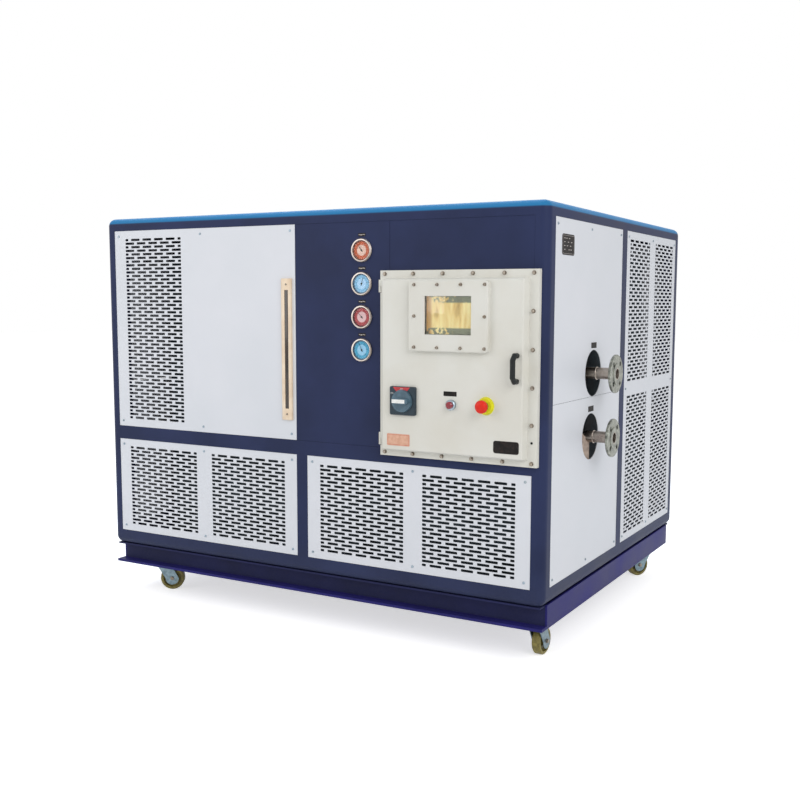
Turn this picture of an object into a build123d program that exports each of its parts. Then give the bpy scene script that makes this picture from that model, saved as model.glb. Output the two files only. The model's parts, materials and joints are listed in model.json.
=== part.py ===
from build123d import *
import os

os.makedirs("parts", exist_ok=True)

# All sizes are in millimetres. +Z is up, -Y is the control side, +X is the pipe side.
# The origin is on the floor, in the middle of the whole machine's outline.

# Cabinet
cabinet_width = 1972
cabinet_depth = 1568
edge_radius = 30
frame_depth = 50
top_margin = 51
bottom_margin = 60
end_margin = 48
side_margin = 60
centre_post = 48
side_post = 54
mid_rail = 54
lower_panel_height = 391
upper_panel_height = 805

# Panels
panel_thickness = 2
panel_setback = 1
seat_gap = 0.3
seam = 0.6
ledge = 18
hidden_post = 48
control_width = 552

# Slots in the ventilated panels
slot_height = 9
slot_pitch = 14.6
zone_inset = 31
zone_gap = 81
front_zone_side = 59.5
upper_zone_inset = 60
upper_zone_width = 294
side_zone_gap = 82
side_zone_side = 44.5

# Skid
base_plate = 10
skid_web = 8
skid_flange = 6
skid_height = 84
skid_front_inset = 10
skid_rear_inset = 58
skid_end_inset = 5
front_web_setback = 54
cross_member_inset = 140
cross_member_count = 4
cross_member_flange = 43

# Casters
caster_end_left = 155
caster_end_right = 72
caster_side_inset = 115
caster_plate_length = 100
caster_plate_width = 84
caster_plate_corner = 6
caster_plate_thickness = 4
race_radius = 31
race_height = 7
king_pin_radius = 6
pin_clearance = 0.05
fork_trail = 40
fork_thickness = 3
fork_heel = 25
fork_crown_height = 6
fork_crown_reach = 34
fork_eye = 28
axle_head = 6
wheel_radius = 50
wheel_top_gap = 12.7
wheel_width = 32
wheel_hub_rise = 2.5
wheel_hub_gap = 0.5
wheel_hub_radius = 14
wheel_web = 12
wheel_rim = 12
wheel_tread_edge = 4
axle_radius = 6
caster_angles = {
    "front_left": 32,
    "front_right": 88,
    "rear_left": 205,
    "rear_right": 235,
}

# Level gauge
level_gauge_width = 45
level_gauge_length = 531
level_gauge_depth = 9
level_gauge_edge = 3
level_gauge_from_seam = 37
level_gauge_rise = 75.5
level_slit_width = 13
level_slit_end = 42.5
level_slit_floor = 1
level_glass_recess = 3

# Pressure gauges
gauge_count = 4
gauge_from_seam = 116
gauge_drop = 101
gauge_spacing = 118.5
gauge_radius = 43
gauge_bezel_depth = 10
gauge_bezel_width = 7
gauge_bezel_slope = 3
gauge_bezel_lip = 2
gauge_dial_depth = 3
gauge_label_gap = 12
gauge_label_width = 30
gauge_label_height = 11
label_thickness = 1

# Control box
box_lap_left = 27
box_lap_right = 26
box_lap_bottom = 23
box_height = 654
box_flange = 6
box_wall = 6
box_depth = 180
cavity_left = 35
cavity_right = 40
cavity_bottom = 30
cavity_top = 28
mounting_plate_inset = 25
mounting_plate_thickness = 3
mounting_post_length = 15
mounting_post_radius = 8
mounting_post_inset = 20

# Door of the control box
door_gap = 0.3
door_plate = 12
pan_left = 18
pan_right = 35
pan_bottom = 20
pan_top = 26
pan_rise = 30
pan_draft = 13
pan_corner = 10
pan_edge = 3
door_pocket_wall = 8
door_pocket_inset = 45
door_open_angle = 110

# Door hinges
hinge_offset = 3.5
hinge_radius = 6
hinge_pin_radius = 3
hinge_height = 44
hinge_split = 0.6
hinge_notch = 1.5
hinge_rise = 59
hinge_drop = 54

# Window in the door
window_left = 142
window_right = 162
window_drop = 11
window_height = 240
window_frame_depth = 20
window_corner = 12
window_edge = 3
glass_width = 178
glass_height = 130
glass_shift_x = 1
glass_shift_z = 3
glass_recess = 8
glass_lap = 8

# Controls on the door, placed from the left bottom corner of the box
switch_x = 114
switch_z = 202
switch_width = 102
switch_height = 100
switch_corner = 6
switch_edge = 2
switch_depth = 12
knob_radius = 40
knob_depth = 8
knob_draft = 12
lever_length = 62
lever_width = 20
lever_rise = 13
shaft_radius = 6
shaft_length = 6
lamp_x = 301
lamp_z = 197
lamp_radius = 18
lamp_depth = 12
lamp_edge = 3
lamp_lens_inset = 5.5
lamp_lens_length = 10
lamp_lens_tip = 3
lamp_label_width = 50
lamp_label_height = 16
lamp_label_rise = 37.5
lamp_label_shift = -5
stop_x = 431
stop_z = 200
stop_collar_radius = 31
stop_collar_depth = 14
stop_collar_draft = 20
stop_button_radius = 22
stop_button_side = 8
stop_button_tip = 8
stop_stem_radius = 10
stop_stem_length = 17
stop_travel = 6
handle_from_right = 63
handle_above_middle = 2
handle_span = 85
handle_rod = 9
handle_reach = 34
handle_bend = 14
door_plate_corner = 4
door_plate_left = (46, 42, 92, 42)
door_plate_right = (52, 44, 93, 42)

# Pipes on the right side
pipe_reach = 91
pipe_radius = 21.2
pipe_wall = 2.6
pipe_upper_depth = 452
pipe_lower_depth = 434
pipe_hole_margin = 15
pipe_upper_margin = 1
pipe_lower_margin = 61
pipe_seat_gap = 0.2
flange_radius = 70
flange_thickness = 12
flange_edge = 1.5
flange_face_radius = 39
flange_face_rise = 2
flange_bolt_edge = 20
flange_bolt_radius = 9
flange_bolt_count = 4
side_label_width = 54
side_label_height = 20
side_label_gap = 17
side_plate_left = 120
side_plate_drop = 53
side_plate_width = 113
side_plate_height = 70
side_plate_corner = 10

# Machinery block behind the panels
block_inset = 130
block_front_inset = 230
block_rise = 12
block_top_inset = 140

# Positions that follow from the sizes
wheel_hub_width = wheel_width + 2 * wheel_hub_rise
fork_inner_gap = wheel_hub_width + 2 * wheel_hub_gap
fork_crown_bottom = 2 * wheel_radius + wheel_top_gap
fork_crown_top = fork_crown_bottom + fork_crown_height
skid_bottom = fork_crown_top + seat_gap + race_height + caster_plate_thickness
skid_top = skid_bottom + skid_height
cabinet_height = bottom_margin + lower_panel_height + mid_rail + upper_panel_height + top_margin
cabinet_bottom = skid_top
cabinet_top = cabinet_bottom + cabinet_height
front_panel_width = (cabinet_width - 2 * end_margin - centre_post) / 2
side_panel_width = (cabinet_depth - 2 * side_margin - side_post) / 2
front_zone_width = (front_panel_width - 2 * front_zone_side - zone_gap) / 2
side_zone_width = (side_panel_width - 2 * side_zone_side - side_zone_gap) / 2
lower_z0 = cabinet_bottom + bottom_margin
lower_z1 = lower_z0 + lower_panel_height
upper_z0 = lower_z1 + mid_rail
upper_z1 = upper_z0 + upper_panel_height
half_z = (lower_z0 + upper_z1) / 2
rebate_depth = panel_setback + panel_thickness + seat_gap
door_front_offset = box_flange + door_gap + door_plate
pan_front_offset = door_front_offset + pan_rise
stop_button_depth = stop_button_side + stop_button_tip
stop_reach = stop_collar_depth + stop_stem_length + stop_button_depth
door_reach = pan_front_offset + stop_reach
left = -(cabinet_width + pipe_reach) / 2
right = left + cabinet_width
front = -(cabinet_depth + door_reach) / 2 + door_reach
back = front + cabinet_depth

# Control box and door, from the machine's origin
control_seam = right - end_margin - control_width
box_x0 = control_seam - box_lap_left
box_x1 = right - end_margin + box_lap_right
box_z0 = upper_z0 - box_lap_bottom
box_z1 = box_z0 + box_height
cavity_x = (box_x0 + cavity_left, box_x1 - cavity_right)
cavity_z = (box_z0 + cavity_bottom, box_z1 - cavity_top)
pan_x = (box_x0 + pan_left, box_x1 - pan_right)
pan_z = (box_z0 + pan_bottom, box_z1 - pan_top)
window_x = (box_x0 + window_left, box_x1 - window_right)
window_z = (pan_z[1] - window_drop - window_height, pan_z[1] - window_drop)
glass_x = (window_x[0] + window_x[1]) / 2 + glass_shift_x
glass_z = (window_z[0] + window_z[1]) / 2 + glass_shift_z
handle_x = box_x1 - handle_from_right
handle_z = (box_z0 + box_z1) / 2 + handle_above_middle
hinge_places = (box_z0 + hinge_rise, box_z1 - hinge_drop)
door_face = front - door_front_offset
pan_face = front - pan_front_offset
hinge_x = box_x0 - hinge_offset
hinge_y = front - box_flange - door_gap - door_plate / 2

# Gauges and pipes
level_gauge_x = left + end_margin + front_panel_width - level_gauge_from_seam
level_gauge_z = upper_z0 + level_gauge_rise + level_gauge_length / 2
level_slit_length = level_gauge_length - 2 * level_slit_end
gauge_x = control_seam - gauge_from_seam
gauge_top_z = upper_z1 - gauge_drop
pipe_hole_radius = flange_radius + pipe_hole_margin
flange_bolt_circle = 2 * (flange_radius - flange_bolt_edge)
pipe_places = (
    (front + pipe_upper_depth, half_z + pipe_hole_radius + pipe_upper_margin),
    (front + pipe_lower_depth, half_z - pipe_hole_radius - pipe_lower_margin),
)


def save(part, name):
    part.label = name
    export_step(part, f"parts/{name}.step")


def block(x0, x1, y0, y1, z0, z1):
    # A plain block between two corners.
    with BuildPart() as piece:
        with Locations(((x0 + x1) / 2, (y0 + y1) / 2, (z0 + z1) / 2)):
            Box(x1 - x0, y1 - y0, z1 - z0)
    return piece.part


# Places of the panels, as (start, end, bottom, top) along each side
front_left_x = (left + end_margin, left + end_margin + front_panel_width)
front_right_x = (right - end_margin - front_panel_width, right - end_margin)
centre_x = (front_left_x[1], control_seam)
control_x = (control_seam, right - end_margin)
side_front_y = (front + side_margin, front + side_margin + side_panel_width)
side_back_y = (back - side_margin - side_panel_width, back - side_margin)
lower_z = (lower_z0, lower_z1)
upper_z = (upper_z0, upper_z1)
full_z = (lower_z0, upper_z1)


def front_slab(x, z, y0, y1):
    return block(x[0], x[1], y0, y1, z[0], z[1])


def side_slab(y, z, x0, x1):
    return block(x0, x1, y[0], y[1], z[0], z[1])


def grown(span, amount):
    return (span[0] - amount, span[1] + amount)


def build_cage():
    # Rounded cabinet shell, opened by a window and a panel seat for each panel.
    post_x = (left + end_margin + front_panel_width - hidden_post / 2,
              left + end_margin + front_panel_width + hidden_post / 2)
    inner_left = front_left_x[0] + ledge
    inner_right = front_right_x[1] - ledge
    front_windows = [
        ((inner_left, post_x[0]), grown(upper_z, -ledge)),
        ((post_x[1], centre_x[1] - 2 * ledge), grown(upper_z, -ledge)),
        ((control_x[0], control_x[1]), (upper_z0, upper_z1 - ledge)),
        ((inner_left, front_left_x[1] - ledge), grown(lower_z, -ledge)),
        ((front_right_x[0] + ledge, inner_right), grown(lower_z, -ledge)),
    ]
    front_seats = [
        ((front_left_x[0], front_right_x[1]), upper_z),
        (front_left_x, lower_z),
        (front_right_x, lower_z),
    ]
    rear_windows = [
        (grown(front_left_x, -ledge), grown(upper_z, -ledge)),
        (grown(front_right_x, -ledge), grown(upper_z, -ledge)),
        (grown(front_left_x, -ledge), grown(lower_z, -ledge)),
        (grown(front_right_x, -ledge), grown(lower_z, -ledge)),
    ]
    rear_seats = [(x, z) for x in (front_left_x, front_right_x) for z in (lower_z, upper_z)]
    side_seats = [side_front_y, side_back_y]
    inner_x = (left + frame_depth, right - frame_depth)
    inner_y = (front + frame_depth, back - frame_depth)
    inner_z = (cabinet_bottom + frame_depth, cabinet_top - frame_depth)
    with BuildPart() as cage:
        with Locations(((left + right) / 2, (front + back) / 2, (cabinet_bottom + cabinet_top) / 2)):
            Box(cabinet_width, cabinet_depth, cabinet_height)
        fillet(cage.edges(), edge_radius)
        add(block(*inner_x, *inner_y, *inner_z), mode=Mode.SUBTRACT)
        for x, z in front_windows:
            add(front_slab(x, z, front - 1, front + frame_depth + 1), mode=Mode.SUBTRACT)
        for x, z in front_seats:
            add(front_slab(x, z, front - 1, front + rebate_depth), mode=Mode.SUBTRACT)
        for x, z in rear_windows:
            add(front_slab(x, z, back - frame_depth - 1, back + 1), mode=Mode.SUBTRACT)
        for x, z in rear_seats:
            add(front_slab(x, z, back - rebate_depth, back + 1), mode=Mode.SUBTRACT)
        for y in side_seats:
            window = grown(y, -ledge)
            add(side_slab(window, grown(full_z, -ledge), left - 1, right + 1), mode=Mode.SUBTRACT)
            add(side_slab(y, full_z, left - 1, left + rebate_depth), mode=Mode.SUBTRACT)
            add(side_slab(y, full_z, right - rebate_depth, right + 1), mode=Mode.SUBTRACT)
        # the bottom is open over the skid, the top has a seat for its cover
        add(block(*inner_x, *inner_y, cabinet_bottom - 1, inner_z[0] + 1), mode=Mode.SUBTRACT)
        top_x = (left + end_margin, right - end_margin)
        top_y = (front + side_margin, back - side_margin)
        add(block(*top_x, *top_y, cabinet_top - rebate_depth, cabinet_top + 1), mode=Mode.SUBTRACT)
        add(block(*grown(top_x, -ledge), *grown(top_y, -ledge), inner_z[1] - 1, cabinet_top),
            mode=Mode.SUBTRACT)
    return cage.part


def cut_from(cage, boxes):
    # The part of the cage that lies inside the given boxes.
    with BuildPart() as zone:
        for box in boxes:
            add(block(*box))
    with BuildPart() as piece:
        add(cage)
        add(zone.part, mode=Mode.INTERSECT)
    return piece.part


def build_frame():
    cage = build_cage()
    post_x0 = (left - 1, left + end_margin + ledge)
    post_x1 = (right - end_margin - ledge, right + 1)
    post_y0 = (front - 1, front + side_margin + ledge)
    post_y1 = (back - side_margin - ledge, back + 1)
    low = (cabinet_bottom - 1, lower_z0 + ledge)
    high = (upper_z1 - ledge, cabinet_top + 1)
    tall = (cabinet_bottom - 1, cabinet_top + 1)
    middle_x = (post_x0[1], post_x1[0])
    middle_y = (post_y0[1], post_y1[0])
    middle_z = (low[1], high[0])
    front_y = (front - 1, front + frame_depth)
    rear_y = (back - frame_depth, back + 1)
    left_x = (left - 1, left + frame_depth)
    right_x = (right - frame_depth, right + 1)
    posts = [(*x, *y, *tall) for x in (post_x0, post_x1) for y in (post_y0, post_y1)]
    save(cut_from(cage, posts), "corner_posts")
    for name, z in (("bottom_rails", low), ("top_rails", high)):
        rails = [(*middle_x, front - 1, front + side_margin + ledge, *z),
                 (*middle_x, back - side_margin - ledge, back + 1, *z),
                 (left - 1, left + end_margin + ledge, *middle_y, *z),
                 (right - end_margin - ledge, right + 1, *middle_y, *z)]
        save(cut_from(cage, rails), name)
    rail_z = (lower_z1 - ledge, upper_z0 + ledge)
    rails = [(*middle_x, *front_y, *rail_z), (*middle_x, *rear_y, *rail_z)]
    save(cut_from(cage, rails), "mid_rails")
    below = (middle_z[0], rail_z[0])
    above = (rail_z[1], middle_z[1])
    side_y = (side_front_y[1] - ledge, side_back_y[0] + ledge)
    posts = [(*middle_x, *y, *z) for y in (front_y, rear_y) for z in (below, above)]
    save(cut_from(cage, posts), "centre_posts")
    posts = [(*x, *side_y, *middle_z) for x in (left_x, right_x)]
    save(cut_from(cage, posts), "side_posts")


def slot_rows(z, inset):
    # Heights of the slot rows that fit between the insets.
    room = z[1] - z[0] - 2 * inset - slot_height
    count = int(room / slot_pitch) + 1
    start = (z[0] + z[1]) / 2 - slot_pitch * (count - 1) / 2
    return [start + slot_pitch * row for row in range(count)]


def sheet_front(x, z, y, zones):
    # A sheet in a plane across the machine; y is its face towards the front.
    x = grown(x, -seam)
    z = grown(z, -seam)
    plane = Plane(origin=(0, y, 0), x_dir=(1, 0, 0), z_dir=(0, -1, 0))
    with BuildPart() as sheet:
        with BuildSketch(plane):
            with Locations(((x[0] + x[1]) / 2, (z[0] + z[1]) / 2)):
                Rectangle(x[1] - x[0], z[1] - z[0])
            for centre, width, rows in zones:
                with Locations([(centre, row) for row in rows]):
                    Rectangle(width, slot_height, mode=Mode.SUBTRACT)
        extrude(amount=-panel_thickness)
    return sheet.part


def sheet_side(y, z, x, zones, holes):
    # A sheet in a plane along the machine; x is its face towards the right.
    y = grown(y, -seam)
    z = grown(z, -seam)
    plane = Plane(origin=(x, 0, 0), x_dir=(0, 1, 0), z_dir=(1, 0, 0))
    with BuildPart() as sheet:
        with BuildSketch(plane):
            with Locations(((y[0] + y[1]) / 2, (z[0] + z[1]) / 2)):
                Rectangle(y[1] - y[0], z[1] - z[0])
            for centre, width, rows in zones:
                with Locations([(centre, row) for row in rows]):
                    Rectangle(width, slot_height, mode=Mode.SUBTRACT)
            for centre_y, centre_z in holes:
                with Locations((centre_y, centre_z)):
                    Circle(pipe_hole_radius, mode=Mode.SUBTRACT)
        extrude(amount=-panel_thickness)
    return sheet.part


def two_zones(span, width, gap):
    middle = (span[0] + span[1]) / 2
    return [middle - (gap + width) / 2, middle + (gap + width) / 2]


def build_front_panels():
    y = front + panel_setback
    rows = slot_rows(lower_z, zone_inset)
    for name, x in (("lower_left_panel", front_left_x), ("lower_right_panel", front_right_x)):
        zones = [(c, front_zone_width, rows) for c in two_zones(x, front_zone_width, zone_gap)]
        save(sheet_front(x, lower_z, y, zones), name)
    zone = front_left_x[0] + upper_zone_inset + upper_zone_width / 2
    zones = [(zone, upper_zone_width, slot_rows(upper_z, zone_inset))]
    save(sheet_front(front_left_x, upper_z, y, zones), "upper_left_panel")
    save(sheet_front(centre_x, upper_z, y, []), "gauge_panel")
    above_box = (box_z1 - ledge, upper_z1)
    save(sheet_front(control_x, above_box, y, []), "control_panel")


def side_zones(y):
    zones = []
    for z in ((lower_z0, half_z), (half_z, upper_z1)):
        rows = slot_rows(z, zone_inset)
        zones += [(c, side_zone_width, rows) for c in two_zones(y, side_zone_width, side_zone_gap)]
    return zones


def build_right_panels():
    x = right - panel_setback
    upper_hole, lower_hole = pipe_places
    save(sheet_side(side_front_y, (half_z, upper_z1), x, [], [upper_hole]), "upper_pipe_panel")
    save(sheet_side(side_front_y, (lower_z0, half_z), x, [], [lower_hole]), "lower_pipe_panel")
    save(sheet_side(side_back_y, full_z, x, side_zones(side_back_y), []), "right_vent_panel")


def build_left_panels():
    x = left + panel_setback + panel_thickness
    with BuildPart() as plain:
        add(sheet_side(side_front_y, (lower_z0, half_z), x, [], []))
        add(sheet_side(side_front_y, (half_z, upper_z1), x, [], []))
    save(plain.part, "left_plain_panels")
    save(sheet_side(side_back_y, full_z, x, side_zones(side_back_y), []), "left_vent_panel")


def build_rear_panels():
    y = back - panel_setback - panel_thickness
    for name, z, rows in (("rear_lower_panels", lower_z, slot_rows(lower_z, zone_inset)),
                          ("rear_upper_panels", upper_z, [])):
        with BuildPart() as pair:
            for x in (front_left_x, front_right_x):
                middles = two_zones(x, front_zone_width, zone_gap)
                add(sheet_front(x, z, y, [(c, front_zone_width, rows) for c in middles if rows]))
        save(pair.part, name)


def build_top_panel():
    face = cabinet_top - panel_setback
    x = grown((left + end_margin, right - end_margin), -seam)
    y = grown((front + side_margin, back - side_margin), -seam)
    save(block(*x, *y, face - panel_thickness, face), "top_panel")


def build_block():
    x = (left + block_inset, right - block_inset)
    y = (front + block_front_inset, back - block_inset)
    z = (skid_bottom + base_plate, cabinet_top - block_top_inset)
    with BuildPart() as machinery:
        add(block(*x, *y, *z))
        add(block(left, right, front, back, z[0], skid_top + block_rise), mode=Mode.SUBTRACT)
        # feet that carry the machinery on the cross members
        for foot in cross_member_places():
            add(block(foot, foot + cross_member_flange, *y, skid_top, skid_top + block_rise))
    save(machinery.part, "machinery_block")


def cross_member_places():
    first = left + cross_member_inset
    last = right - cross_member_inset - cross_member_flange
    step = (last - first) / (cross_member_count - 1)
    return [first + step * place for place in range(cross_member_count)]


def build_skid():
    x = (left + skid_end_inset, right - skid_end_inset)
    y = (front + skid_front_inset, back - skid_rear_inset)
    plate_top = skid_bottom + base_plate
    save(block(*x, *y, skid_bottom, plate_top), "base_plate")
    front_web = (front + front_web_setback, front + front_web_setback + skid_web)
    rear_web = (y[1] - skid_web, y[1])
    rail_x = grown(x, -skid_web)
    with BuildPart() as rails:
        add(block(*rail_x, *front_web, plate_top, skid_top))
        add(block(*rail_x, y[0], front_web[0], skid_top - skid_flange, skid_top))
        add(block(*rail_x, *rear_web, plate_top, skid_top))
        add(block(*rail_x, rear_web[1], back - skid_front_inset, skid_top - skid_flange, skid_top))
    save(rails.part, "skid_rails")
    with BuildPart() as ends:
        add(block(x[0], rail_x[0], *y, plate_top, skid_top))
        add(block(rail_x[1], x[1], *y, plate_top, skid_top))
    save(ends.part, "skid_end_plates")
    with BuildPart() as members:
        for place in cross_member_places():
            web = (place, place + skid_flange)
            span = (front_web[1], rear_web[0])
            add(block(*web, *span, plate_top, skid_top))
            add(block(place, place + cross_member_flange, *span, skid_top - skid_flange, skid_top))
            add(block(place, place + cross_member_flange, *span, plate_top, plate_top + skid_flange))
    save(members.part, "cross_members")


def caster_places():
    x0 = left + caster_end_left
    x1 = right - caster_end_right
    y0 = front + skid_front_inset + caster_side_inset
    y1 = back - skid_rear_inset - caster_side_inset
    return {
        "front_left": (x0, y0),
        "front_right": (x1, y0),
        "rear_left": (x0, y1),
        "rear_right": (x1, y1),
    }


def build_caster_plates():
    plate_z = skid_bottom - caster_plate_thickness
    race_z = plate_z - race_height
    with BuildPart() as plates:
        for x, y in caster_places().values():
            with BuildSketch(Plane.XY.offset(plate_z)):
                with Locations((x, y)):
                    RectangleRounded(caster_plate_length, caster_plate_width, caster_plate_corner)
            extrude(amount=caster_plate_thickness)
            with BuildSketch(Plane.XY.offset(race_z)):
                with Locations((x, y)):
                    Circle(race_radius)
            extrude(amount=race_height)
            with BuildSketch(Plane.XY.offset(race_z - race_height - fork_thickness)):
                with Locations((x, y)):
                    Circle(king_pin_radius)
            extrude(amount=race_height + fork_thickness)
    save(plates.part, "caster_plates")


def build_fork(angle, x, y):
    # Fork with its crown on the king pin; the wheel trails along +X before the turn.
    crown_bottom = fork_crown_bottom
    half_gap = fork_inner_gap / 2
    with BuildPart() as fork:
        with BuildSketch(Plane.XY.offset(crown_bottom)):
            Circle(race_radius)
            with Locations((fork_crown_reach / 2, 0)):
                Rectangle(fork_crown_reach, fork_inner_gap + 2 * fork_thickness)
        extrude(amount=fork_crown_height)
        with BuildSketch(Plane.XY.offset(crown_bottom)):
            Circle(king_pin_radius + pin_clearance)
        extrude(amount=fork_crown_height, mode=Mode.SUBTRACT)
        for side in (-1, 1):
            plane = Plane(origin=(0, side * half_gap, 0), x_dir=(1, 0, 0), z_dir=(0, -1, 0))
            with BuildSketch(plane):
                with BuildLine():
                    Polyline((fork_trail - fork_eye, wheel_radius), (-fork_heel, crown_bottom),
                             (fork_crown_reach, crown_bottom), (fork_trail + fork_eye, wheel_radius))
                    ThreePointArc((fork_trail + fork_eye, wheel_radius),
                                  (fork_trail, wheel_radius - fork_eye),
                                  (fork_trail - fork_eye, wheel_radius))
                make_face()
            extrude(amount=-side * fork_thickness)
        plane = Plane(origin=(fork_trail, -half_gap - axle_head, wheel_radius), z_dir=(0, 1, 0))
        with BuildSketch(plane):
            Circle(axle_radius)
        extrude(amount=2 * (half_gap + axle_head))
    return fork.part.moved(Location((x, y, 0), (0, 0, angle)))


def build_wheel(angle, x, y):
    plane = Plane(origin=(fork_trail, 0, wheel_radius), x_dir=(1, 0, 0), z_dir=(0, 0, 1))
    rim_radius = wheel_radius - wheel_rim
    with BuildPart() as wheel:
        with BuildSketch(plane):
            with BuildLine():
                Polyline(
                    (axle_radius + pin_clearance, -wheel_hub_width / 2),
                    (wheel_hub_radius, -wheel_hub_width / 2),
                    (wheel_hub_radius, -wheel_web / 2),
                    (rim_radius, -wheel_web / 2),
                    (rim_radius, -wheel_width / 2),
                    (wheel_radius - wheel_tread_edge, -wheel_width / 2),
                    (wheel_radius, -wheel_width / 2 + wheel_tread_edge),
                    (wheel_radius, wheel_width / 2 - wheel_tread_edge),
                    (wheel_radius - wheel_tread_edge, wheel_width / 2),
                    (rim_radius, wheel_width / 2),
                    (rim_radius, wheel_web / 2),
                    (wheel_hub_radius, wheel_web / 2),
                    (wheel_hub_radius, wheel_hub_width / 2),
                    (axle_radius + pin_clearance, wheel_hub_width / 2),
                    close=True)
            make_face()
        axis = Axis((fork_trail, 0, wheel_radius), (0, 1, 0))
        revolve(axis=axis, revolution_arc=360)
    return wheel.part.moved(Location((x, y, 0), (0, 0, angle)))


def build_casters():
    build_caster_plates()
    for name, (x, y) in caster_places().items():
        angle = caster_angles[name]
        save(build_fork(angle, x, y), f"fork_{name}")
        save(build_wheel(angle, x, y), f"wheel_{name}")


def front_plane(x, y, z):
    # Sketch plane that faces the front, with its own X to the right and Y up.
    return Plane(origin=(x, y, z), x_dir=(1, 0, 0), z_dir=(0, -1, 0))


def build_level_gauge():
    face = front + panel_setback
    x = level_gauge_x
    with BuildPart() as body:
        with BuildSketch(front_plane(x, face, level_gauge_z)):
            Rectangle(level_gauge_width, level_gauge_length)
        extrude(amount=level_gauge_depth)
        chamfer(body.edges().filter_by(Axis.Z).sort_by(Axis.Y)[:2], level_gauge_edge)
        with BuildSketch(front_plane(x, face - level_slit_floor, level_gauge_z)):
            Rectangle(level_slit_width, level_slit_length)
        extrude(amount=level_gauge_depth, mode=Mode.SUBTRACT)
    save(body.part, "level_gauge_body")
    with BuildPart() as glass:
        with BuildSketch(front_plane(x, face - level_slit_floor, level_gauge_z)):
            Rectangle(level_slit_width - 2 * seat_gap, level_slit_length - 2 * seat_gap)
        extrude(amount=level_gauge_depth - level_slit_floor - level_glass_recess)
    save(glass.part, "level_gauge_glass")


def gauge_places():
    return [gauge_top_z - gauge_spacing * place for place in range(gauge_count)]


def build_gauges():
    face = front + panel_setback
    x = gauge_x
    inner = gauge_radius - gauge_bezel_width
    slope_start = gauge_bezel_depth / 2
    with BuildPart() as bezels:
        for z in gauge_places():
            with BuildSketch(Plane(origin=(x, face, z), x_dir=(1, 0, 0), z_dir=(0, 0, 1))):
                with BuildLine():
                    Polyline((inner, 0), (gauge_radius, 0), (gauge_radius, -slope_start),
                             (gauge_radius - gauge_bezel_slope, -gauge_bezel_depth),
                             (inner, -gauge_bezel_depth + gauge_bezel_lip), close=True)
                make_face()
            revolve(axis=Axis((x, 0, z), (0, 1, 0)), revolution_arc=360)
    save(bezels.part, "gauge_bezels")
    with BuildPart() as dials:
        for z in gauge_places():
            with BuildSketch(front_plane(x, face, z)):
                Circle(inner - seat_gap)
            extrude(amount=gauge_dial_depth)
    save(dials.part, "gauge_dials")
    with BuildPart() as labels:
        for z in gauge_places():
            with BuildSketch(front_plane(x, face, z + gauge_radius + gauge_label_gap)):
                Rectangle(gauge_label_width, gauge_label_height)
            extrude(amount=label_thickness)
    save(labels.part, "gauge_labels")


def build_box_body():
    back_y = front + box_depth - box_wall
    flange_y = front - box_flange
    with BuildPart() as body:
        add(block(box_x0, box_x1, flange_y, front, box_z0, box_z1))
        add(block(*grown(cavity_x, box_wall), flange_y, front + box_depth, *grown(cavity_z, box_wall)))
        add(block(*cavity_x, flange_y - 1, back_y, *cavity_z), mode=Mode.SUBTRACT)
    save(body.part, "control_box_body")
    x = grown(cavity_x, -mounting_plate_inset)
    z = grown(cavity_z, -mounting_plate_inset)
    plate_y = back_y - mounting_post_length
    post_x = x[1] - x[0] - 2 * mounting_post_inset
    post_z = z[1] - z[0] - 2 * mounting_post_inset
    with BuildPart() as plate:
        add(block(*x, plate_y - mounting_plate_thickness, plate_y, *z))
        with BuildSketch(front_plane((x[0] + x[1]) / 2, back_y, (z[0] + z[1]) / 2)):
            with GridLocations(post_x, post_z, 2, 2):
                Circle(mounting_post_radius)
        extrude(amount=mounting_post_length)
    save(plate.part, "mounting_plate")


def build_door():
    back_face = front - box_flange - door_gap
    box_middle = ((box_x0 + box_x1) / 2, (box_z0 + box_z1) / 2)
    pan_middle = (sum(pan_x) / 2, sum(pan_z) / 2)
    pan_width = pan_x[1] - pan_x[0]
    pan_height = pan_z[1] - pan_z[0]
    with BuildPart() as door:
        with BuildSketch(front_plane(box_middle[0], back_face, box_middle[1])):
            Rectangle(box_x1 - box_x0, box_z1 - box_z0)
        extrude(amount=door_plate)
        # raised pan with sloping sides and a soft edge
        with BuildSketch(front_plane(pan_middle[0], door_face, pan_middle[1])):
            RectangleRounded(pan_width, pan_height, pan_corner)
        extrude(amount=pan_rise, taper=pan_draft)
        chamfer(door.faces().sort_by(Axis.Y)[0].edges(), pan_edge)
        # hollow of the pan, open to the inside of the box
        with BuildSketch(front_plane(pan_middle[0], back_face, pan_middle[1])):
            Rectangle(pan_width - 2 * door_pocket_inset, pan_height - 2 * door_pocket_inset)
        extrude(amount=door_plate + pan_rise - door_pocket_wall, mode=Mode.SUBTRACT)
        # window opening
        with BuildSketch(front_plane(glass_x, pan_face, glass_z)):
            Rectangle(glass_width, glass_height)
        extrude(amount=-door_pocket_wall - 1, mode=Mode.SUBTRACT)
        # notches for the fixed knuckles, then the door's own knuckles
        for z in hinge_places:
            with BuildSketch(Plane.XY.offset(z - hinge_height / 2 - hinge_notch)):
                with Locations((hinge_x, hinge_y)):
                    Rectangle(2 * (hinge_radius + hinge_notch), 4 * hinge_radius)
            extrude(amount=hinge_height / 2 + hinge_notch, mode=Mode.SUBTRACT)
            base = z + hinge_split / 2
            with BuildSketch(Plane.XY.offset(base)):
                with Locations((hinge_x, hinge_y)):
                    Circle(hinge_radius)
            extrude(amount=hinge_height / 2 - hinge_split / 2)
            with BuildSketch(Plane.XY.offset(base)):
                with Locations((hinge_x, hinge_y)):
                    Circle(hinge_pin_radius + pin_clearance)
            extrude(amount=hinge_height / 2, mode=Mode.SUBTRACT)
    save(door.part, "door")


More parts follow.
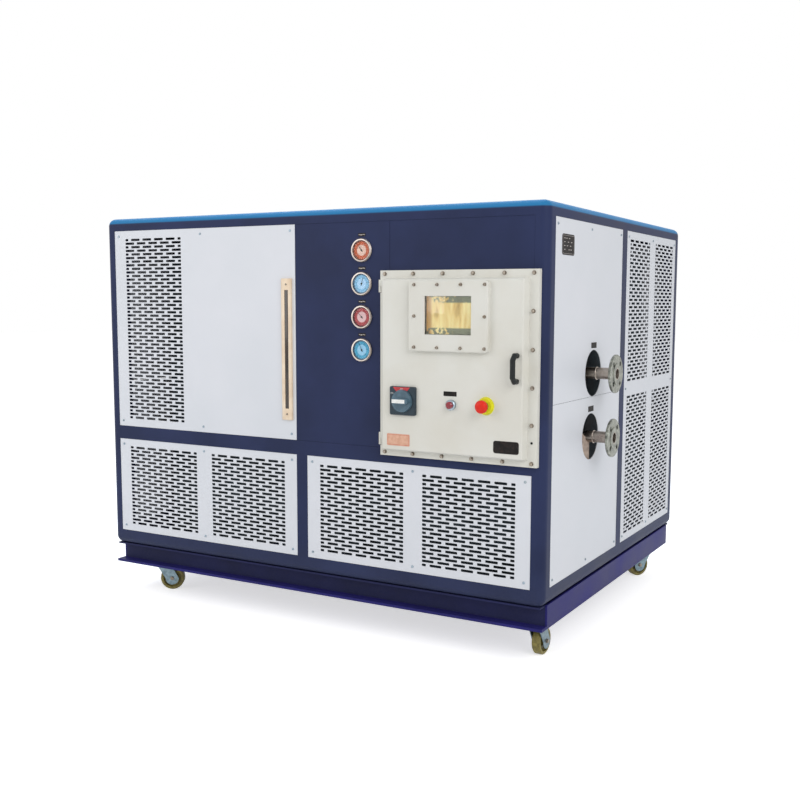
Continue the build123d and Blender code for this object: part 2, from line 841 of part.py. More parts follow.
def build_hinges():
    # Fixed knuckles on the box flange, each with its pin.
    with BuildPart() as knuckles:
        for z in hinge_places:
            base = z - hinge_height / 2
            with BuildSketch(Plane.XY.offset(base)):
                with Locations((hinge_x, hinge_y)):
                    Circle(hinge_radius)
                foot_y = (hinge_y + front - box_flange) / 2
                with Locations((hinge_x, foot_y)):
                    Rectangle(2 * hinge_radius, front - box_flange - hinge_y)
            extrude(amount=hinge_height / 2 - hinge_split / 2)
            with BuildSketch(Plane.XY.offset(base)):
                with Locations((hinge_x, hinge_y)):
                    Circle(hinge_pin_radius)
            extrude(amount=hinge_height - 1)
            # leaf from the knuckle to the cabinet
            leaf_x = (hinge_x - hinge_radius, box_x0 - seat_gap)
            add(block(*leaf_x, hinge_y, front, base, base + hinge_height / 2 - hinge_split / 2))
    save(knuckles.part, "hinge_knuckles")


def build_window():
    middle = (sum(window_x) / 2, sum(window_z) / 2)
    with BuildPart() as frame:
        with BuildSketch(front_plane(middle[0], pan_face, middle[1])):
            RectangleRounded(window_x[1] - window_x[0], window_height, window_corner)
        extrude(amount=window_frame_depth)
        chamfer(frame.faces().sort_by(Axis.Y)[0].edges(), window_edge)
        with BuildSketch(front_plane(glass_x, pan_face - window_frame_depth, glass_z)):
            Rectangle(glass_width, glass_height)
        extrude(amount=-window_frame_depth, mode=Mode.SUBTRACT)
        with BuildSketch(front_plane(glass_x, pan_face, glass_z)):
            Rectangle(glass_width + 2 * glass_lap, glass_height + 2 * glass_lap)
        extrude(amount=window_frame_depth - glass_recess, mode=Mode.SUBTRACT)
    save(frame.part, "window_frame")
    with BuildPart() as glass:
        with BuildSketch(front_plane(glass_x, pan_face, glass_z)):
            Rectangle(glass_width + 2 * (glass_lap - seat_gap), glass_height + 2 * (glass_lap - seat_gap))
        extrude(amount=window_frame_depth - glass_recess)
    save(glass.part, "window_glass")


def build_handle():
    # Bent grip; its path is made of short straights so that the sweep stays plain.
    half = handle_span / 2
    plane = Plane(origin=(handle_x, 0, handle_z), x_dir=(0, 1, 0), z_dir=(1, 0, 0))
    out = pan_face - handle_reach
    with BuildPart() as handle:
        with BuildLine(plane):
            path = Polyline((pan_face, -half), (out + handle_bend, -half), (out, -half + handle_bend),
                            (out, half - handle_bend), (out + handle_bend, half), (pan_face, half))
        with BuildSketch(Plane(origin=path @ 0, z_dir=path % 0)):
            Circle(handle_rod)
        sweep(transition=Transition.RIGHT)
    save(handle.part, "door_handle")


def build_switch():
    x = box_x0 + switch_x
    z = box_z0 + switch_z
    with BuildPart() as base:
        with BuildSketch(front_plane(x, pan_face, z)):
            RectangleRounded(switch_width, switch_height, switch_corner)
        extrude(amount=switch_depth)
        chamfer(base.faces().sort_by(Axis.Y)[0].edges(), switch_edge)
        with BuildSketch(front_plane(x, pan_face - switch_depth, z)):
            Circle(shaft_radius)
        extrude(amount=shaft_length)
    save(base.part, "switch_base")
    knob_back = pan_face - switch_depth - seat_gap
    with BuildPart() as knob:
        with BuildSketch(front_plane(x, knob_back, z)):
            Circle(knob_radius)
        extrude(amount=knob_depth, taper=knob_draft)
        with BuildSketch(front_plane(x, knob_back - knob_depth, z)):
            SlotOverall(lever_length, lever_width)
        extrude(amount=lever_rise)
        with BuildSketch(front_plane(x, knob_back, z)):
            Circle(shaft_radius + pin_clearance)
        extrude(amount=shaft_length, mode=Mode.SUBTRACT)
    save(knob.part, "switch_knob")


def build_lamp():
    x = box_x0 + lamp_x
    z = box_z0 + lamp_z
    lens_radius = lamp_radius - lamp_lens_inset
    with BuildPart() as ring:
        with BuildSketch(front_plane(x, pan_face, z)):
            Circle(lamp_radius)
        extrude(amount=lamp_depth)
        chamfer(ring.faces().sort_by(Axis.Y)[0].edges(), lamp_edge)
        with BuildSketch(front_plane(x, pan_face, z)):
            Circle(lens_radius)
        extrude(amount=lamp_depth, mode=Mode.SUBTRACT)
    save(ring.part, "lamp_ring")
    with BuildPart() as lens:
        with BuildSketch(front_plane(x, pan_face, z)):
            Circle(lens_radius - seat_gap)
        extrude(amount=lamp_depth + lamp_lens_length)
        chamfer(lens.faces().sort_by(Axis.Y)[0].edges(), lamp_lens_tip)
    save(lens.part, "lamp_lens")


def build_stop():
    x = box_x0 + stop_x
    z = box_z0 + stop_z
    with BuildPart() as collar:
        with BuildSketch(front_plane(x, pan_face, z)):
            Circle(stop_collar_radius)
        extrude(amount=stop_collar_depth, taper=stop_collar_draft)
        with BuildSketch(front_plane(x, pan_face, z)):
            Circle(stop_stem_radius + pin_clearance)
        extrude(amount=stop_collar_depth, mode=Mode.SUBTRACT)
    save(collar.part, "stop_collar")
    # the button as one turned profile from the stem to the rounded cap
    stem_start = stop_travel + seat_gap
    cap_start = stop_collar_depth + stop_stem_length
    cap_side = cap_start + stop_button_side
    cap_tip = cap_side + stop_button_tip
    cap = stop_button_radius
    with BuildPart() as button:
        with BuildSketch(Plane(origin=(x, pan_face, z), x_dir=(1, 0, 0), z_dir=(0, 0, 1))):
            with BuildLine():
                Polyline((0, -stem_start), (stop_stem_radius, -stem_start),
                         (stop_stem_radius, -cap_start), (cap, -cap_start), (cap, -cap_side),
                         (0.92 * cap, -cap_side - 0.4 * stop_button_tip),
                         (0.72 * cap, -cap_side - 0.77 * stop_button_tip),
                         (0.45 * cap, -cap_tip), (0, -cap_tip), close=True)
            make_face()
        revolve(axis=Axis((x, 0, z), (0, 1, 0)), revolution_arc=360)
    save(button.part, "stop_button")


def build_door_plates():
    with BuildPart() as plates:
        side, rise, width, height = door_plate_left
        with BuildSketch(front_plane(box_x0 + side + width / 2, pan_face, box_z0 + rise + height / 2)):
            RectangleRounded(width, height, door_plate_corner)
        extrude(amount=label_thickness)
        side, rise, width, height = door_plate_right
        with BuildSketch(front_plane(box_x1 - side - width / 2, pan_face, box_z0 + rise + height / 2)):
            RectangleRounded(width, height, door_plate_corner)
        extrude(amount=label_thickness)
        label_x = box_x0 + lamp_x + lamp_label_shift
        with BuildSketch(front_plane(label_x, pan_face, box_z0 + lamp_z + lamp_label_rise)):
            Rectangle(lamp_label_width, lamp_label_height)
        extrude(amount=label_thickness)
    save(plates.part, "door_plates")


def side_plane(x, y, z):
    # Sketch plane that faces the pipe side, with its own X to the rear and Y up.
    return Plane(origin=(x, y, z), x_dir=(0, 1, 0), z_dir=(1, 0, 0))


def build_pipes():
    face = right + pipe_reach
    start = right - block_inset
    with BuildPart() as pipes:
        for y, z in pipe_places:
            with BuildSketch(side_plane(start, y, z)):
                Circle(pipe_radius)
                Circle(pipe_radius - pipe_wall, mode=Mode.SUBTRACT)
            extrude(amount=face - start)
    save(pipes.part, "water_pipes")
    # loose flanges, each a turned disc with a raised face and a circle of bolt holes
    bore = pipe_radius + pipe_seat_gap
    rim = flange_radius - flange_edge
    shoulder = face - flange_face_rise
    with BuildPart() as flanges:
        for y, z in pipe_places:
            with BuildSketch(Plane(origin=(face, y, z), x_dir=(1, 0, 0), z_dir=(0, 1, 0))):
                with BuildLine():
                    Polyline((-flange_thickness, bore), (-flange_thickness, rim),
                             (-flange_thickness + flange_edge, flange_radius),
                             (-flange_face_rise - flange_edge, flange_radius), (-flange_face_rise, rim),
                             (-flange_face_rise, flange_face_radius), (0, flange_face_radius),
                             (0, bore), close=True)
                make_face()
            revolve(axis=Axis((0, y, z), (1, 0, 0)), revolution_arc=360)
        for y, z in pipe_places:
            with BuildSketch(side_plane(shoulder, y, z)):
                with PolarLocations(flange_bolt_circle / 2, flange_bolt_count, start_angle=45):
                    Circle(flange_bolt_radius)
            extrude(amount=-flange_thickness, mode=Mode.SUBTRACT)
    save(flanges.part, "pipe_flanges")


def build_side_plates():
    x = right - panel_setback
    with BuildPart() as plates:
        for y, z in pipe_places:
            label_z = z + pipe_hole_radius + side_label_gap
            with BuildSketch(side_plane(x, y, label_z)):
                Rectangle(side_label_width, side_label_height)
            extrude(amount=label_thickness)
        plate_y = front + side_plate_left + side_plate_width / 2
        plate_z = upper_z1 - side_plate_drop - side_plate_height / 2
        with BuildSketch(side_plane(x, plate_y, plate_z)):
            RectangleRounded(side_plate_width, side_plate_height, side_plate_corner)
        extrude(amount=label_thickness)
    save(plates.part, "side_plates")


build_frame()
build_front_panels()
build_right_panels()
build_left_panels()
build_rear_panels()
build_top_panel()
build_block()
build_skid()
build_casters()
build_level_gauge()
build_gauges()
build_box_body()
build_door()
build_hinges()
build_window()
build_handle()
build_switch()
build_lamp()
build_stop()
build_door_plates()
build_pipes()
build_side_plates()
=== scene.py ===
import json
import math
import bpy
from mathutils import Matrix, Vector


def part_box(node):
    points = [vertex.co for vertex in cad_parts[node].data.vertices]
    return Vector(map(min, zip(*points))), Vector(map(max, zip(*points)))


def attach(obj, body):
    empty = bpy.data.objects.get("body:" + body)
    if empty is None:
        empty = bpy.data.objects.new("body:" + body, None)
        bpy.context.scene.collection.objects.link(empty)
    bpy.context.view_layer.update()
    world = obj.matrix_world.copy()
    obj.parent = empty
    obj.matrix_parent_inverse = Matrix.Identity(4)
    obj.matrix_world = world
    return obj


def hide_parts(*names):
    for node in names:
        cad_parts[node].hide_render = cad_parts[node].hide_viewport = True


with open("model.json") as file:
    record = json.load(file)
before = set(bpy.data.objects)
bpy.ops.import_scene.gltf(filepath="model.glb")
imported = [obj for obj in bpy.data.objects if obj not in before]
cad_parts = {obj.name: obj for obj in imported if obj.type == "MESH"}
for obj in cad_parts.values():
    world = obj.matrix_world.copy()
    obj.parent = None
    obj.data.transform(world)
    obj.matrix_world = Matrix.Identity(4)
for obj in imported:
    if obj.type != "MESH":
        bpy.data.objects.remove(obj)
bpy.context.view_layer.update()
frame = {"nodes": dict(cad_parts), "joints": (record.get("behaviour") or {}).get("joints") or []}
nodes = frame["nodes"]
print("frame loaded:", len(nodes), "nodes")

mm = 0.001
squareOn = 0.9  # a face whose normal goes this far along an axis looks along it
lightEdge = 0.25 * mm


def metres(sizes):
    return [size * mm for size in sizes]


def middleOf(name):
    low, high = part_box(name)
    return (low + high) / 2


def letGo():
    # back to object mode with nothing selected, so that a new primitive stands alone
    if bpy.context.object and bpy.context.object.mode != "OBJECT":
        bpy.ops.object.mode_set(mode="OBJECT")
    bpy.ops.object.select_all(action="DESELECT")


def makeActive(piece):
    letGo()
    piece.select_set(True)
    bpy.context.view_layer.objects.active = piece


def pick(piece, kind, test):
    # into edit mode with the faces, edges or points selected that pass the test
    makeActive(piece)
    bpy.ops.object.mode_set(mode="EDIT")
    bpy.ops.mesh.select_mode(type=kind)
    bpy.ops.mesh.select_all(action="DESELECT")
    bpy.ops.object.mode_set(mode="OBJECT")
    mesh = piece.data
    for part in {"VERT": mesh.vertices, "EDGE": mesh.edges, "FACE": mesh.polygons}[kind]:
        part.select = test(part)
    bpy.ops.object.mode_set(mode="EDIT")


def everyPart(piece, kind="VERT"):
    makeActive(piece)
    bpy.ops.object.mode_set(mode="EDIT")
    bpy.ops.mesh.select_mode(type=kind)
    bpy.ops.mesh.select_all(action="SELECT")


def inset(width, move=None, walled=False):
    # a rim inside the picked faces; what it rings moves, or sinks between walls
    bpy.ops.mesh.inset(thickness=width, depth=0)
    if walled:
        bpy.ops.mesh.extrude_region_move(TRANSFORM_OT_translate={"value": move})
    elif move:
        bpy.ops.transform.translate(value=move)


def dished(piece, rimMm, moveMm, walled=False):
    # the front face, inside a rim, moves back by so much
    pick(piece, "FACE", lambda face: face.normal.y < -squareOn)
    inset(rimMm * mm, (0, moveMm * mm, 0), walled)
    letGo()
    return piece


def narrowed(piece, share, test):
    # the points that pass the test draw together sideways
    pick(piece, "VERT", test)
    bpy.ops.transform.resize(value=(share, 1, 1))
    letGo()
    return piece


def settle(piece):
    # place, turn and scale go into the mesh
    makeActive(piece)
    bpy.ops.object.transform_apply(location=True, rotation=True, scale=True)
    return piece


def joined(pieces, name):
    makeActive(pieces[0])
    for piece in pieces:
        piece.select_set(True)
    if len(pieces) > 1:
        bpy.ops.object.join()
    pieces[0].name = name
    pieces[0].data.name = name
    return settle(pieces[0])


def setAll(item, settings):
    for name, value in settings.items():
        setattr(item, name, value)


def withModifier(piece, kind, **settings):
    setAll(piece.modifiers.new("change", kind), settings)
    makeActive(piece)
    bpy.ops.object.modifier_apply(modifier="change")
    return piece


def arrayed(piece, count, step):
    if count > 1:
        withModifier(piece, "ARRAY", use_relative_offset=False, use_constant_offset=True,
                     constant_offset_displace=step, count=count)
    return piece


def thickened(piece, thickness):
    return withModifier(piece, "SOLIDIFY", thickness=thickness, offset=-1)


def rounded(piece, width, segments=2, angle=40):
    return withModifier(piece, "BEVEL", width=width, segments=segments, limit_method="ANGLE",
                        angle_limit=math.radians(angle))


def smooth(piece, angle=35):
    makeActive(piece)
    bpy.ops.object.shade_smooth_by_angle(angle=math.radians(angle))
    return piece


def rod(radius, depth, place, turn=(math.pi / 2, 0, 0), sides=48):
    # round blank that lies along Y unless it is turned
    letGo()
    bpy.ops.mesh.primitive_cylinder_add(vertices=sides, radius=radius, depth=depth, location=place,
                                        rotation=turn)
    return settle(bpy.context.object)


def spread(piece, size, middle):
    everyPart(piece)
    bpy.ops.transform.resize(value=size)
    bpy.ops.transform.translate(value=middle)
    letGo()
    return piece


def bar(x, y, z):
    # square blank between two places on each axis
    letGo()
    bpy.ops.mesh.primitive_cube_add(size=1)
    spans = (x, y, z)
    return spread(bpy.context.object, [high - low for low, high in spans],
                  [(low + high) / 2 for low, high in spans])


def patch(x0, x1, y0, y1):
    # flat rectangle, drawn lying down
    letGo()
    bpy.ops.mesh.primitive_plane_add(size=1)
    return spread(bpy.context.object, (x1 - x0, y1 - y0, 1), ((x0 + x1) / 2, (y0 + y1) / 2, 0))


def copiesOf(pattern, places, name):
    # one copy with its own mesh at each (place, turn); the pattern itself goes
    made = []
    for place, turn in places:
        copy = pattern.copy()
        copy.data = pattern.data.copy()
        copy.location = place
        copy.rotation_euler = turn
        bpy.context.scene.collection.objects.link(copy)
        made.append(copy)
    bpy.data.objects.remove(pattern)
    return joined(made, name)


facings = {"front": (0, 0, 0), "right": (0, 0, math.pi / 2), "left": (0, 0, -math.pi / 2),
           "rear": (0, 0, math.pi)}


def hexColour(code):
    # sRGB hex to linear
    channels = [int(code[place:place + 2], 16) / 255 for place in (1, 3, 5)]
    linear = [c / 12.92 if c <= 0.04045 else ((c + 0.055) / 1.055) ** 2.4 for c in channels]
    return (*linear, 1)


def addNode(tree, kind, values=None, links=None, **settings):
    # values fill its inputs, links tell which (node, output) feeds one, settings are its own
    item = tree.nodes.new("ShaderNode" + kind)
    setAll(item, settings)
    for name, value in (values or {}).items():
        item.inputs[name].default_value = value
    for name, (source, output) in (links or {}).items():
        tree.links.new(source.outputs[output], item.inputs[name])
    return item


def ranged(low, high, start=0.0, end=1.0):
    return {"From Min": low, "From Max": high, "To Min": start, "To Max": end}


def sized(patchMm, detail, **more):
    # a pattern whose patches have a real size
    return {"Scale": 1 / (patchMm * mm), "Detail": detail, **more}


def fillRamp(item, *stops):
    # (position, colour) of each stop; the first two are its ends
    elements = item.color_ramp.elements
    for number, (position, colour) in enumerate(stops):
        stop = elements[number] if number < 2 else elements.new(position)
        stop.position, stop.color = position, hexColour(colour)


def startMaterial(name, values):
    made = bpy.data.materials.new(name)
    made.use_nodes = True
    tree = made.node_tree
    tree.nodes.clear()
    at = {"Vector": (addNode(tree, "TexCoord"), "Object")}
    surface = addNode(tree, "BsdfPrincipled", values)
    addNode(tree, "OutputMaterial", links={"Surface": (surface, "BSDF")})
    return made, (tree, at, surface)


def blended(coat, share, output, colour, under, underOutput="Color"):
    # lays one more colour over the finish, as far as the share says
    tree, _, surface = coat
    mix = addNode(tree, "Mix", {7: hexColour(colour)}, {0: (share, output), 6: (under, underOutput)},
                  data_type="RGBA")
    tree.links.new(mix.outputs[2], surface.inputs["Base Color"])
    return mix


def mottled(coat, look):
    # the colour drifts between two tones over patches of a real size, and the shine with it
    tree, at, surface = coat
    patches = addNode(tree, "TexNoise", sized(look["patchMm"], 4.0), at)
    drift = addNode(tree, "ValToRGB", links={"Fac": (patches, "Fac")})
    fillRamp(drift, (0.36, look["tone"]), (0.66, look["colour"]))
    tree.links.new(drift.outputs["Color"], surface.inputs["Base Color"])
    shine = addNode(tree, "MapRange", ranged(0.3, 0.7, *look["gloss"]), {"Value": (patches, "Fac")})
    tree.links.new(shine.outputs["Result"], surface.inputs["Roughness"])
    return drift


def bumped(coat, height, output, depthMm):
    tree, _, surface = coat
    relief = addNode(tree, "Bump", {"Strength": 1.0, "Distance": depthMm * mm},
                     {"Height": (height, output)})
    tree.links.new(relief.outputs["Normal"], surface.inputs["Normal"])


def grained(coat, look, detail, roughness=0.5, stretch=1):
    tree, at, _ = coat
    grain = addNode(tree, "TexNoise", sized(look["grainMm"] * stretch, detail, Roughness=roughness), at)
    bumped(coat, grain, "Fac", look["grainDepthMm"])
    return grain


def stained(coat, look, low, high, stretch):
    under = mottled(coat, look)
    tree, at, _ = coat
    stains = addNode(tree, "TexNoise", sized(look["patchMm"] * stretch, 3.0, Distortion=1.0), at)
    share = addNode(tree, "MapRange", ranged(low, high, 0.0, look["stain"]), {"Value": (stains, "Fac")})
    blended(coat, share, "Result", look["stainColour"], under)


dust = {"colour": "#8a8478", "fullAt": 0.10, "goneAt": 0.34, "speckMm": 9}


def powderCoat(name, look):
    # Polyester powder, sprayed and baked: it melts to a slightly wavy skin, called orange peel
    made, coat = startMaterial(name, {"Metallic": 0.0, "IOR": 1.5, "Specular IOR Level": look["specular"]})
    drift = mottled(coat, look)
    grained(coat, look, 2.0, 0.45)
    tree, at, _ = coat
    height = addNode(tree, "SeparateXYZ", links=at)
    # shop dust settles low down, and fades out above the skid
    low = addNode(tree, "MapRange", ranged(dust["fullAt"], dust["goneAt"], 1.0, 0.0),
                  {"Value": (height, "Z")})
    specks = addNode(tree, "TexNoise", sized(dust["speckMm"], 6.0), at)
    share = addNode(tree, "Math", {}, {0: (low, "Result"), 1: (specks, "Fac")}, operation="MULTIPLY")
    share = addNode(tree, "Math", {1: look["dust"]}, {0: (share, "Value")}, operation="MULTIPLY")
    dusty = blended(coat, share, "Value", dust["colour"], drift)
    if "reflectionBandColour" in look:
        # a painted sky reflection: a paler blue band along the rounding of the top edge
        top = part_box("top_rails")[1].z
        rise = addNode(tree, "MapRange", ranged(top - look["reflectionBandMm"] * mm, top), {"Value": (height, "Z")})
        band = addNode(tree, "ValToRGB", links={"Fac": (rise, "Result")})
        fillRamp(band, (0, "#000000"), (1, "#000000"), (0.22, "#ffffff"), (0.975, "#ffffff"))
        blended(coat, band, "Color", look["reflectionBandColour"], dusty, 2)
    return made


def texturedEnamel(name, look):
    # Stoved enamel over a welded steel flameproof box: fine grit shows under the paint
    made, coat = startMaterial(name, {"Metallic": 0.0, "IOR": 1.5, "Specular IOR Level": 0.4})
    stained(coat, look, 0.50, 0.72, 2.4)
    grit = addNode(coat[0], "TexVoronoi", {"Scale": 1 / (look["grainMm"] * mm)}, coat[1])
    bumped(coat, grit, "Distance", look["grainDepthMm"])
    return made


def zincPlate(name, look):
    # Bright zinc plate with a blue passivate: cool grey with cloudy spangle and a few yellow stains
    made, coat = startMaterial(name, {"Metallic": 1.0})
    stained(coat, look, 0.52, 0.75, 2.5)
    grained(coat, look, 3.0)
    return made


def turnedMetal(name, look):
    # Bar and tube turned on a lathe: fine rings along the axis, with straw colour from the heat
    made, (tree, at, surface) = startMaterial(name, {"Metallic": 1.0, "Anisotropic": 0.4})
    stained((tree, at, surface), look, 0.45, 0.72, 1.0)
    squeeze = [0.6, 0.6, 0.6]
    squeeze[look["axis"]] = 60
    stretched = addNode(tree, "Mapping", {"Scale": squeeze}, at)
    grained((tree, {"Vector": (stretched, "Vector")}, surface), look, 3.0, stretch=60)
    return made


def mouldedPlastic(name, look):
    # Injection moulded in a spark-eroded tool: an even, fine grain and a soft shine
    made, coat = startMaterial(name, {
        "Metallic": 0.0, "IOR": 1.49, "Specular IOR Level": look.get("specular", 0.4),
        "Coat Weight": look.get("coat", 0.0), "Coat Roughness": 0.08})
    if "stain" in look:
        stained(coat, look, 0.50, 0.66, 0.5)
    else:
        mottled(coat, look)
    grained(coat, look, 1.0)
    return made


def clearGlass(name, look):
    # Float glass, toughened: clear with a faint green body tint and a mirror-smooth face
    made, (tree, at, surface) = startMaterial(name, {
        "Metallic": 0.0, "IOR": look["ior"], "Specular IOR Level": look["specular"],
        "Transmission Weight": 1.0})
    smears = addNode(tree, "TexNoise", sized(look["patchMm"], 5.0), at)
    shine = addNode(tree, "MapRange", ranged(0.5, 0.8, 0.01, look["smear"]), {"Value": (smears, "Fac")})
    tree.links.new(shine.outputs["Result"], surface.inputs["Roughness"])
    tint = addNode(tree, "ValToRGB", links={"Fac": (smears, "Fac")})
    fillRamp(tint, (0, look["colour"]), (1, look["tone"]))
    tree.links.new(tint.outputs["Color"], surface.inputs["Base Color"])
    return made


def printedDial(name, look, x, z, radius):
    # Screen-printed aluminium dial: a coloured scale band round a pale middle
    made, coat = startMaterial(name, {"Metallic": 0.0, "IOR": 1.5, "Roughness": 0.4})
    tree, at, surface = coat
    centred = addNode(tree, "Mapping", {"Location": (-x, 0, -z)}, at, vector_type="POINT")
    flat = addNode(tree, "VectorMath", {1: (1, 0, 1)}, {0: (centred, "Vector")}, operation="MULTIPLY")
    reach = addNode(tree, "VectorMath", {}, {0: (flat, "Vector")}, operation="LENGTH")
    share = addNode(tree, "MapRange", ranged(0.0, radius), {"Value": (reach, "Value")})
    bands = addNode(tree, "ValToRGB", links={"Fac": (share, "Result")})
    # pale hub, the coloured scale band, then a darker rim at the edge, which is painted shadow of the bezel
    fillRamp(bands, (0.30, look["hub"]), (0.98, look["rim"]), (0.50, look["hub"]), (0.58, look["band"]),
             (0.84, look["band"]), (0.90, look["rim"]))
    grain = grained(coat, {"grainMm": 0.9, "grainDepthMm": 0.01}, 2.0)
    mix = addNode(tree, "Mix", {0: 0.12}, {6: (bands, "Color"), 7: (grain, "Color")}, data_type="RGBA",
                  blend_type="MULTIPLY")
    tree.links.new(mix.outputs[2], surface.inputs["Base Color"])
    return made


def screenWithPaintedReflection(name, look, x0, z0, z1):
    # Display carrying a painted reflection of the surroundings: warm gold streaks and darker bands at its
    # edges, glowing a little
    made, coat = startMaterial(name, {"Metallic": 0.0, "IOR": 1.5, "Roughness": 0.35,
                                      "Emission Strength": look["paintedReflectionGlow"]})
    tree, at, surface = coat
    stretched = addNode(tree, "Mapping", {"Scale": look["stretch"]}, at)
    streaks = addNode(tree, "TexNoise", sized(look["streakMm"], 5.0, Distortion=0.4),
                      {"Vector": (stretched, "Vector")})
    gold = addNode(tree, "ValToRGB", links={"Fac": (streaks, "Fac")})
    fillRamp(gold, (0.28, look["deep"]), (0.66, look["pale"]), (0.42, look["mid"]))
    spots = addNode(tree, "SeparateXYZ", links=at)
    blots = addNode(tree, "TexNoise", sized(look["blotMm"], 4.0), at)
    # painted reflection: a tan band down the left side, then grey-green bands along the top and bottom, denser
    # to the right
    start, stop = metres(look["tanMm"])
    side = addNode(tree, "MapRange", ranged(x0 + start, x0 + stop, 0.85, 0.0), {"Value": (spots, "X")})
    tan = blended(coat, side, "Result", look["tan"], gold)
    away = addNode(tree, "Math", {1: (z0 + z1) / 2}, {0: (spots, "Z")}, operation="SUBTRACT")
    away = addNode(tree, "Math", {}, {0: (away, "Value")}, operation="ABSOLUTE")
    half = (z1 - z0) / 2
    start, stop = metres(look["reflectionBandMm"])
    edge = addNode(tree, "MapRange", ranged(half - start, half - stop), {"Value": (away, "Value")})
    start, stop = metres(look["denserMm"])
    right = addNode(tree, "MapRange", ranged(x0 + start, x0 + stop, -0.03, 0.24), {"Value": (spots, "X")})
    dense = addNode(tree, "Math", {}, {0: (blots, "Fac"), 1: (right, "Result")})
    cover = addNode(tree, "MapRange", ranged(0.46, 0.56, 0.0, 0.88), {"Value": (dense, "Value")})
    share = addNode(tree, "Math", {}, {0: (edge, "Result"), 1: (cover, "Result")}, operation="MULTIPLY")
    mix = blended(coat, share, "Value", look["shade"], tan, 2)
    tree.links.new(mix.outputs[2], surface.inputs["Emission Color"])
    return made


